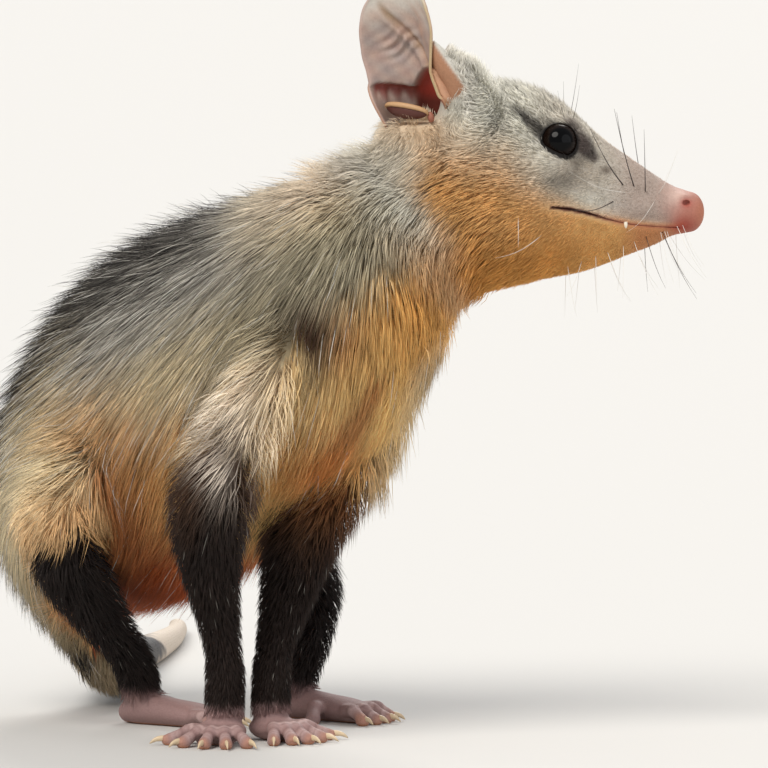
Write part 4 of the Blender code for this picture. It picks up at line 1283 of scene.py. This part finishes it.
# Where the legs' tops pass softly into the trunk: centre and reach.
softened = [
    ((4, -46, 120), 34),
    ((42, 4, 114), 28),
    ((-54, 26, 88), 36),
    ((-46, 6, 92), 34),
    ((-20, 62, 84), 30),
]
softenTimes = 65
horn = (206, 184, 152)


def makeSkin():
    head = makeHeadSkin()
    claws = bmesh.new()
    feet = makeFeet(claws)
    print("head and feet", len(head.data.polygons), [len(foot.data.polygons) for foot in feet])
    bm = bmesh.new()
    addSpine(bm, headEnd - 2, rowLengths(spineRows)[-1], 4.0, plug=0.4)
    for name, rows in legRows.items():
        end = 1.0 if "thigh" in name else 1 - 12 / rowLengths(rows)[-1]
        addLimb(bm, rows, 0.0, end, 4, 28, thinner=0.25)
    addLimb(bm, tailRows[:4], 0.0, 1.0, 4, 28)
    skin = meltTogether("skin", bm, skinFine["body"], 5)
    combine(skin, [head, *feet])
    seam = Vector(toScene(readRows(spineRows, 2, 0, headEnd / rowLengths(spineRows)[-1])[1, :3]))
    smoothPiece(skin, 6, near=lambda co: (co - seam).length < 0.06 and co.x < seam.x + 0.012)
    for centre, reach in softened:
        centre = Vector(toScene(centre))
        smoothPiece(skin, softenTimes, near=lambda co: (co - centre).length < reach * mm)
    points = pointsOf(skin)
    field = bodyField(points)
    colours, _ = markings(points, field)
    # Painted shade: the skin is darker where fur grows over it.
    furred = fade(10, 16, points[:, 2]) * fade(6, 14, field["spineAt"])
    paint(skin, colours * (1 - 0.25 * furred[:, None]))
    skin.data.materials.clear()
    skin.data.materials.append(skinFinish)
    skin.data.shade_smooth()
    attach(skin, "root")
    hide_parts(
        *("head", "muzzle_pad", "neck", "torso", "tail_base"),
        *("foreleg_right", "foreleg_left", "hindleg_right", "hindleg_left"),
        *("forefoot_right", "forefoot_left", "hindfoot_right", "hindfoot_left"),
    )
    tips = makeObject("claws", claws, hornFinish)
    # Claws darker towards the floor.
    darkerNearFloor = 0.75 + 0.25 * fade(0, 2.5, pointsOf(tips)[:, 2])
    paint(tips, linear(horn) * darkerNearFloor[:, None])
    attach(tips, "root")
    return skin


skin = makeSkin()
print("skin", len(skin.data.polygons))

# Eyes: a dark glossy ball, brown in the iris and black in the pupil.
eyeLook = {"iris": 5.4, "pupil": 3.8, "brown": (22, 13, 9), "black": (3, 3, 4), "gloss": 0.08}


def makeEyes():
    finish = bodyMaterial("eyeFinish", eyeLook["gloss"], specular=0.12)
    for name, sign in (("eyeRight", -1), ("eyeLeft", 1)):
        bm = bmesh.new()
        addBall(bm, eyeCentre(sign), [eye["radius"]] * 3, 64, 40)
        ball = makeObject(name, bm, finish)
        ahead, out, rise = lids["faces"]
        outward = np.array((ahead, sign * out, rise))
        outward /= np.linalg.norm(outward)
        offset = pointsOf(ball) - np.array(eyeCentre(sign))
        off = np.linalg.norm(offset - (offset @ outward)[:, None] * outward, axis=1)
        pupil, iris = eyeLook["pupil"], eyeLook["iris"]
        brown = fade(pupil, pupil + 0.5, off) * (1 - fade(iris, iris + 0.8, off))
        black = linear(eyeLook["black"])
        paint(ball, black + brown[:, None] * (linear(eyeLook["brown"]) - black))
        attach(ball, "root")
        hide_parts("eye_right" if sign < 0 else "eye_left")


makeEyes()

makeEars()
print("eyes and ears")

# Tail: bare and scaly past its furred root, black first and then pale to the tip.
tailLook = {"sides": 40, "rings": 190, "scaleLong": 1.5, "scalesAround": 34}


def makeTail():
    bm = bmesh.new()
    total = rowLengths(tailRows)[-1]
    read = readRows(tailRows, tailLook["rings"], 0.04, 1.0)
    read[:, 3] -= read[:, 5]
    read[:, 4] -= read[:, 5]
    addTube(bm, read, sideward, tailLook["sides"])
    piece = makeObject("tail", bm)
    points = pointsOf(piece)
    field = bodyField(points)
    at = field["at"]
    colours = np.tile(tone["tailBlack"], (len(points), 1))
    noise = 7 * np.sin(field["angle"] * 3 + at * 0.11) + 4 * np.sin(field["angle"] * 7 + at * 0.5)
    mixTo(colours, "tailWhite", fade(total * 0.5, total * 0.58, at + noise))
    paint(piece, colours)
    uv = piece.data.uv_layers.new(name="scales")
    loops = np.empty(len(piece.data.loops), int)
    piece.data.loops.foreach_get("vertex_index", loops)
    around = (field["angle"][loops] / math.tau) % 1.0
    owner = np.repeat(np.arange(len(piece.data.polygons)), [p.loop_total for p in piece.data.polygons])
    low = np.full(len(piece.data.polygons), 9.0)
    np.minimum.at(low, owner, around)
    around = np.where(around - low[owner] > 0.5, around - 1, around)
    coords = np.stack([around * tailLook["scalesAround"], at[loops] / tailLook["scaleLong"]], 1)
    uv.data.foreach_set("uv", coords.ravel())
    piece.data.materials.append(scaleMaterial())
    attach(piece, "root")
    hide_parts("tail_middle", "tail_tip")


def scaleMaterial():
    material = bodyMaterial("tailFinish", 0.5, scale=900, contrast=0.35, bump=0.2, depth=0.2)
    nodes, links = material.node_tree.nodes, material.node_tree.links
    shader = nodes["Principled BSDF"]
    where = nodes.new("ShaderNodeUVMap")
    where.uv_map = "scales"
    cells = nodes.new("ShaderNodeTexVoronoi")
    cells.feature = "DISTANCE_TO_EDGE"
    cells.inputs["Scale"].default_value = 1.0
    cells.inputs["Randomness"].default_value = 0.35
    links.new(where.outputs["UV"], cells.inputs["Vector"])
    ridge = nodes.new("ShaderNodeMapRange")
    ridge.inputs["From Max"].default_value = 0.2
    links.new(cells.outputs["Distance"], ridge.inputs["Value"])
    raised = nodes.new("ShaderNodeBump")
    raised.inputs["Strength"].default_value = 0.6
    raised.inputs["Distance"].default_value = 0.25 * mm
    links.new(ridge.outputs["Result"], raised.inputs["Height"])
    links.new(nodes["Bump"].outputs["Normal"], raised.inputs["Normal"])
    links.new(raised.outputs["Normal"], shader.inputs["Normal"])
    return material


makeTail()
print("tail")

# The coat, in tufts rooted in the skin. Each region has its count of tufts and how they stand.
coat = {
    "head": {"count": 46000, "wide": 0.13, "clump": 0.04, "every": 9, "stand": 0.8, "stray": 0.11},
    "trunk": {"count": 64000, "wide": 0.17, "clump": 0.15, "every": 8, "stand": 0.95, "stray": 0.17},
    "legs": {"count": 19000, "wide": 0.17, "clump": 0.22, "every": 8, "stand": 1.15, "stray": 0.13},
    "tail": {"count": 2500, "wide": 0.2, "clump": 0.25, "every": 9, "stand": 0.95, "stray": 0.1},
    "guard": {"count": 6000, "wide": 0.12, "clump": 0.0, "every": 9, "stand": 1.2, "stray": 0.16},
    "sunk": 0.5,
    "patch": 0.003,
    "pieceTufts": 11500,
    "profile": (0.85, 1.0, 0.62),
}


def skinTree():
    bm = bmesh.new()
    bm.from_mesh(skin.data)
    tree = BVHTree.FromBMesh(bm)
    bm.free()
    return tree


def skinTriangles():
    mesh = skin.data
    mesh.calc_loop_triangles()
    corners = np.empty(len(mesh.loop_triangles) * 3, int)
    mesh.loop_triangles.foreach_get("vertices", corners)
    points = pointsOf(skin)
    normals = np.empty(len(mesh.vertices) * 3)
    mesh.vertices.foreach_get("normal", normals)
    corners = corners.reshape(-1, 3)
    return points[corners], normals.reshape(-1, 3)[corners]


# Where no hair grows: eyes, lips, nose, the cup of the ears, hands and feet.
def bareness(points, field):
    x, _, z = points.T
    high, aside, ahead = earPlaces(points)
    tail = onChains(field, "tail")
    parts = [
        fade(139, 145, x),
        1 - fade(6.4, 6.9, fromEye(headPlaces(points))),
        (1 - fade(0.8, 1.3, fromMouth(x, z))) * (x > 101.6) * (z < 190),
        (np.hypot(aside, ahead - 1) < 9.5) & (high > -3.5) & (ahead < 4.5),
        (high > -1) & (high < 40) & (aside > -12) & (aside < 13) & (ahead > -15),
        (high > 20) & (high < 40) & (aside < 19) & (ahead > -9),
        earFront(points)[0],
        (z < 10.5) & ~tail,
        tail & (field["at"] > 92),
    ]
    return np.max(parts, axis=0)


def regionOf(field):
    spine = onChains(field, "spine")
    region = np.full(len(spine), "legs", dtype=object)
    region[spine & (field["spineAt"] <= 112)] = "head"
    region[spine & (field["spineAt"] > 112)] = "trunk"
    region[onChains(field, "tail")] = "tail"
    return region


def pickRoots():
    corners, normals = skinTriangles()
    centres = corners.mean(1)
    field = bodyField(centres)
    sides = corners[:, 1:] - corners[:, :1]
    areas = np.linalg.norm(np.cross(sides[:, 0], sides[:, 1]), axis=1) / 2
    weights = areas * (1 - bareness(centres, field)) / np.sqrt(np.maximum(field["hair"], 1.2))
    regions = regionOf(field)
    picked = []
    angle = np.abs(field["spineAngle"])
    back = 0.12 + 1.1 * (1 - fade(35, 62, angle)) * fade(128, 160, field["spineAt"])
    back = np.maximum(back * (1 - fade(90, 115, angle)), 0.02)
    for name in ("head", "trunk", "legs", "tail", "guard"):
        chance = np.where(regions == name, weights, 0)
        if name == "guard":
            chance = np.where(regions == "trunk", weights * back, 0)
        chosen = draw.choice(len(chance), coat[name]["count"], p=chance / chance.sum())
        a, b = draw.random((2, len(chosen)))
        flip = a + b > 1
        a, b = np.where(flip, 1 - a, a), np.where(flip, 1 - b, b)
        share = np.stack([1 - a - b, a, b], 1)[:, :, None]
        spots = (corners[chosen] * share).sum(1)
        ups = (normals[chosen] * share).sum(1)
        picked.append((name, spots, ups / np.linalg.norm(ups, axis=1)[:, None]))
    return picked


# How far the coat hangs down from the spine's own way at lengths along it, and the point it fans out from.
droopAt = (96, 125, 165, 205, 250, 290)
droops = (0.2, 0.9, 1.2, 1.0, 1.7, 2.0)
napeFan = (41, 0, 203)


# The coat fans out from the nape, falls down the sides and lies back along the spine, and away from the ears.
def lieOf(points, normals, field, stray):
    down = np.array((0, 0, -1.0))
    angle = np.abs(field["spineAngle"])
    spineAt = field["spineAt"]
    droop = np.interp(spineAt, droopAt, droops)
    sides = np.sin(np.radians(np.clip(angle, 0, 180))) ** 1.3 * field["spineShare"]
    droop *= sides
    way = field["way"] / np.linalg.norm(field["way"], axis=1)[:, None]
    way = way + down * droop[:, None]
    fan = (points - np.array(napeFan)) * np.array((1.0, 0.0, 1.0))
    fan /= np.linalg.norm(fan, axis=1)[:, None] + 1e-6
    way += fan * (3.2 * sides * fade(98, 118, spineAt) * (1 - fade(150, 205, spineAt)))[:, None]
    cheek = fade(90, 130, angle) * (1 - fade(100, 120, spineAt)) * 0.5
    way = way + down * cheek[:, None]
    high, aside, ahead = earPlaces(points)
    byEar = (1 - fade(12, 24, np.hypot(aside - 4, ahead))) * fade(-14, -4, high) * (high < 40)
    _, axis, faces, across = (np.array(part) for part in earFrame(-1))
    apart = np.hypot(aside, ahead) + 1e-6
    outward = (aside / apart)[:, None] * across + (ahead / apart)[:, None] * faces + 0.5 * down
    forward = fade(9, 14, aside)[:, None]
    turned = outward + (axis + 0.7 * across - outward) * forward
    turned[:, 1] *= np.where(points[:, 1] > faceY, -1, 1)
    way += (turned - way) * byEar[:, None]
    way += draw.normal(0, stray, way.shape)
    way -= (way * normals).sum(1)[:, None] * normals
    return way / np.linalg.norm(way, axis=1)[:, None]


def followSkin(tree, roots, ways, lengths, rises):
    tips, halves = np.empty_like(roots), np.empty_like(roots)
    steps = 2 if lengths.max() > 9 else 1
    for n in range(len(roots)):
        spot, way = Vector(toScene(roots[n])), Vector(ways[n])
        reach = lengths[n] * mm / steps
        for step in range(steps):
            near, up, _, _ = tree.find_nearest(spot + way * reach)
            way = (near - spot).normalized() if (near - spot).length > 1e-6 else way
            spot = near
            if step == 0:
                halves[n] = np.array(spot + up * rises[n] * mm * 0.7) / mm + middle
        tips[n] = np.array(spot + up * rises[n] * mm) / mm + middle
    if steps == 1:
        halves = (roots + tips) / 2
    return halves, tips


def pullTogether(roots, tips, share, every):
    seeds = np.arange(0, len(roots), every)
    tree = KDTree(len(seeds))
    for k, n in enumerate(seeds):
        tree.insert(roots[n], k)
    tree.balance()
    towards = np.empty_like(tips)
    for n in range(len(roots)):
        _, k, _ = tree.find(roots[n])
        towards[n] = tips[seeds[k]] + (roots[n] - roots[seeds[k]]) * 0.25
    apart = np.linalg.norm(towards - tips, axis=1)
    return tips + (towards - tips) * (share * np.exp(-apart / 14))[:, None]


def coatShades(spots, field, name):
    colours, tips = markings(spots, field, hair=True)
    count = len(spots)
    angle = np.abs(field["spineAngle"])
    if name == "guard":
        back = 1 - fade(30, 60, angle)
        black = (draw.random(count) < (0.3 + 0.55 * back) * (angle < 100))[:, None]
        main = np.where(black, tone["black"] * 1.6, tone["white"])
        return np.where(black, colours * 0.8, main), main, main, main
    vary = np.exp(draw.normal(0, 0.1 if name == "head" else 0.14, count))[:, None]
    first, second = np.array((0.31, 0.22, 0.17)), np.array((-0.12, 0.25, 0.33))
    patch = np.exp(0.12 * np.sin(spots @ first) * np.sin(spots @ second))
    colours = colours * vary * patch[:, None]
    dark = (draw.random(count) < tips)[:, None]
    # Painted shade: each hair's root, deep in the coat, is darker than the hair; on the trunk it also takes
    # the warm underfur.
    under = colours * (0.93 if name == "head" else 0.86)
    if name == "trunk":
        under = 0.8 * under + 0.2 * tone["underCoat"] * 0.7
    tip = np.where(dark, colours * 0.28, colours * 1.12)
    late = np.where(dark, colours * 0.62, colours * 1.05)
    pale = (draw.random(count) < 0.011)[:, None] & (name == "legs")
    tip = np.where(pale, tone["white"] * 0.8, tip)
    late = np.where(pale, tone["white"] * 0.7, late)
    return under, colours, late, tip


# The faces of one tuft, a thin prism that closes in a point, and the places of their corners on its patch.
def tuftPattern(rings):
    last, tip = (rings - 2) * 3, (rings - 1) * 3
    faces, corners = [[0, 1, 2]], [[(0, -0.4), (3, -0.4), (1.5, -1.2)]]
    for k in range(rings - 2):
        for j in range(3):
            n = (j + 1) % 3
            faces.append([k * 3 + j, k * 3 + 3 + j, k * 3 + 3 + n, k * 3 + n])
            corners.append([(j, k), (j, k + 1), (j + 1, k + 1), (j + 1, k)])
    for j in range(3):
        faces.append([last + j, tip, last + (j + 1) % 3])
        corners.append([(j, rings - 2), (j + 0.5, rings - 1), (j + 1, rings - 2)])
    spread = np.concatenate([np.array(corner, float) for corner in corners])
    return faces, (spread / np.array((3.0, rings - 1.0)) - 0.5) * coat["patch"]


def makeTufts(name, curve, normals, wide, shades, patches):
    count, rings = curve.shape[:2]
    along = np.gradient(curve, axis=1)
    along /= np.linalg.norm(along, axis=2)[:, :, None] + 1e-9
    side = np.cross(along, normals[:, None])
    side /= np.linalg.norm(side, axis=2)[:, :, None] + 1e-9
    up = np.cross(side, along)
    layers = []
    for k in range(rings - 1):
        size = (wide * coat["profile"][k])[:, None]
        for turn in (90, 210, 330):
            c, s = math.cos(math.radians(turn)), math.sin(math.radians(turn))
            layers.append(curve[:, k] + side[:, k] * c * size + up[:, k] * s * size * 0.7)
    layers.append(curve[:, -1])
    points = np.stack(layers, 1)
    each = points.shape[1]
    faces, spread = tuftPattern(rings)
    pattern = np.concatenate([np.array(face) for face in faces])
    sizes = np.array([len(face) for face in faces])
    loops = (np.arange(count)[:, None] * each + pattern).ravel()
    totals = np.tile(sizes, count)
    mesh = bpy.data.meshes.new(name)
    mesh.vertices.add(count * each)
    mesh.vertices.foreach_set("co", toScene(points.reshape(-1, 3)).ravel())
    mesh.loops.add(len(loops))
    mesh.loops.foreach_set("vertex_index", loops)
    mesh.polygons.add(len(totals))
    mesh.polygons.foreach_set("loop_start", np.concatenate([[0], np.cumsum(totals)[:-1]]))
    mesh.polygons.foreach_set("loop_total", totals)
    mesh.polygons.foreach_set("use_smooth", np.ones(len(totals), bool))
    mesh.update()
    uv = mesh.uv_layers.new(name="OFBake")
    uv.data.foreach_set("uv", (patches[:, None] + spread).ravel())
    mesh.materials.append(coatFinish)
    piece = bpy.data.objects.new(name, mesh)
    bpy.context.scene.collection.objects.link(piece)
    tints = np.repeat(np.stack(shades, 1)[:, : rings - 1], 3, axis=1)
    tints = np.concatenate([tints, shades[-1][:, None]], 1)
    paint(piece, tints.reshape(-1, 3))
    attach(piece, "root")
    return piece


# Splits a region's tufts into pieces by place along the chain, and unwraps each piece's stretch of skin.
def layCoat(name, curve, normals, wide, shades, field):
    order = np.argsort(field["chain"] * 1000 + field["at"], kind="stable")
    pieces = max(1, math.ceil(len(order) / coat["pieceTufts"]))
    for n, part in enumerate(np.array_split(order, pieces)):
        chain, at = field["chain"][part], field["at"][part]
        kinds = np.unique(chain)
        lane = np.searchsorted(kinds, chain)
        around = (field["angle"][part] / math.tau + 0.5) * 0.94 + 0.03
        u = (lane + around) / len(kinds)
        low = np.array([at[chain == kind].min() for kind in kinds])[lane]
        high = np.array([at[chain == kind].max() for kind in kinds])[lane]
        v = 0.02 + 0.96 * (at - low) / np.maximum(high - low, 1)
        patches = np.clip(np.stack([u, v], 1), 0.004, 0.996)
        label = f"{name}Coat{n + 1}"
        kept = tuple(shade[part] for shade in shades)
        makeTufts(label, curve[part], normals[part], wide[part], kept, patches)


def growCoat():
    tree = skinTree()
    for name, spots, normals in pickRoots():
        spec = coat[name]
        field = bodyField(spots)
        ways = lieOf(spots, normals, field, spec["stray"])
        count = len(spots)
        hair = field["hair"] * np.clip(draw.normal(0.8 if name == "head" else 1, 0.14, count), 0.5, 1.4)
        high, aside, ahead = earPlaces(spots)
        byEar = (1 - fade(14, 22, np.hypot(aside - 4, ahead))) * fade(-14, -8, high)
        hair *= 1 - 0.5 * byEar
        depth = field["depth"] * np.clip(draw.normal(spec["stand"], 0.15, count), 0.35, 1.5)
        depth *= 1 - 0.45 * byEar
        if name == "head":
            depth *= 1 + 0.6 * np.clip(normals[:, 2], 0, 1) * fade(30, 50, field["at"])
        reach = np.sqrt(np.maximum(hair**2 - depth**2, (0.5 * hair) ** 2))
        halves, tips = followSkin(tree, spots, ways, reach, depth)
        tips = pullTogether(spots, tips, spec["clump"], spec["every"])
        length = np.linalg.norm(tips - spots, axis=1)
        tips = spots + (tips - spots) * np.minimum(1, 1.25 * hair / np.maximum(length, 0.1))[:, None]
        tips[:, 2] = np.maximum(tips[:, 2], 0.6)
        roots = spots - normals * coat["sunk"]
        if name == "guard":
            late = halves + (tips - halves) * 0.55
            early = roots + (halves - roots) * 0.6 + normals * depth[:, None] * 0.12
            curve = np.stack([roots, early, late, tips], 1)
        else:
            bend = (roots + tips) / 2 + normals * depth[:, None] * 0.22
            curve = np.stack([roots, bend, tips], 1)
        wide = spec["wide"] * np.exp(draw.normal(0, 0.18, count))
        wide *= np.clip(0.55 + hair / 14, 0.6, 1.0)
        seen = spots + (tips - spots) * 0.5 - normals * depth[:, None] * 0.4
        under, main, late, tip = coatShades(seen, bodyField(seen), name)
        shades = (under, main, late, tip) if name == "guard" else (under, main, tip)
        layCoat(name, curve, normals, wide, shades, field)
        print(name, "coat", count)


growCoat()

# Whiskers on each side: root and tip in x and z, how far the tip stands out from the root, the root's radius.
whiskers = {
    "dark": [
        ((127.0, 189.4), (113.2, 206.5), 16, 0.27),
        ((131.0, 189.2), (122.5, 216.0), 14, 0.24),
        ((135.0, 187.8), (134.5, 209.0), 9, 0.2),
        ((123.0, 183.6), (110.0, 183.0), 18, 0.22),
        ((109.8, 213.0), (112.0, 223.5), 4, 0.12),
        ((107.5, 213.0), (107.0, 222.0), 5, 0.11),
        ((135.7, 168.0), (138.6, 153.0), 4, 0.13),
        ((141.8, 168.6), (151.0, 150.5), 5, 0.14),
    ],
    "white": [
        ((88.9, 182.0), (90.0, 170.0), 5, 0.11),
        ((97.0, 176.0), (84.0, 165.5), 7, 0.11),
        ((119.0, 161.5), (114.6, 149.5), 3, 0.1),
        ((123.1, 162.8), (130.4, 149.0), 4, 0.1),
        ((146.2, 171.0), (154.0, 157.5), 4, 0.1),
        ((108.8, 157.4), (110.8, 146.0), 3, 0.1),
        ((128.5, 164.8), (127.0, 151.5), 5, 0.1),
        ((132.0, 166.0), (139.5, 153.0), 3, 0.1),
        ((114.0, 159.6), (106.0, 149.0), 5, 0.09),
        ((138.5, 185.0), (128.0, 172.0), 19, 0.07),
        ((141.0, 169.6), (143.0, 155.5), 3, 0.08),
        ((143.0, 170.2), (147.0, 157.0), 4, 0.08),
        ((144.8, 170.4), (150.5, 156.5), 3, 0.08),
        ((147.8, 171.6), (156.0, 161.5), 4, 0.08),
        ((127.5, 186.8), (108.0, 193.0), 22, 0.1),
        ((140.0, 188.0), (143.5, 202.0), 8, 0.09),
    ],
}
whiskerColours = {"dark": (52, 44, 42), "white": (228, 224, 216)}
teeth = {"x": 127.2, "z": 176.6, "long": 2.2, "radius": 0.75, "colour": (232, 222, 204)}


def makeWhiskers():
    tree = skinTree()
    for kind, colour in whiskerColours.items():
        bm = bmesh.new()
        for (x, z), (endX, endZ), out, radius in whiskers[kind]:
            for sign in (-1, 1):
                guess = Vector(toScene((x, faceY + sign * 12, z)))
                root, normal, _, _ = tree.find_nearest(guess)
                root = Vector(np.array(root - normal * 0.4 * mm) / mm + middle)
                lean = draw.normal(0, 1.2 if sign < 0 else 3.5, 2)
                tip = Vector((endX + lean[0], root.y + sign * out, endZ + lean[1]))
                rows = []
                for step in range(12):
                    t = step / 11
                    sag = Vector((0, sign * 2.2, -1.6)) * math.sin(math.pi * t)
                    thick = radius * (1 - 0.8 * t)
                    rows.append((*(root + (tip - root) * t + sag), thick, thick))
                addTube(bm, rows, Vector((0.3, 1, 0.2)), 6)
        piece = makeObject(kind + "Whiskers", bm, hornFinish)
        paint(piece, np.tile(linear(colour), (len(piece.data.vertices), 1)))
        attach(piece, "root")


def makeTeeth():
    tree = skinTree()
    bm = bmesh.new()
    for sign in (-1, 1):
        guess = Vector(toScene((teeth["x"], faceY + sign * 12, teeth["z"])))
        root = np.array(tree.find_nearest(guess)[0]) / mm + middle
        rows = []
        for share, size in ((0, 1.0), (0.35, 0.95), (0.7, 0.7), (1.0, 0.25)):
            spot = root + np.array((0.2 * share, -sign * 0.5, -teeth["long"] * share))
            rows.append((*spot, teeth["radius"] * size, teeth["radius"] * size))
        addTube(bm, readRows(rows, 8), Vector((0, 1, 0)), 12)
    piece = makeObject("teeth", bm, hornFinish)
    paint(piece, np.tile(linear(teeth["colour"]), (len(piece.data.vertices), 1)))
    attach(piece, "root")


makeWhiskers()
makeTeeth()
print("whiskers and teeth")
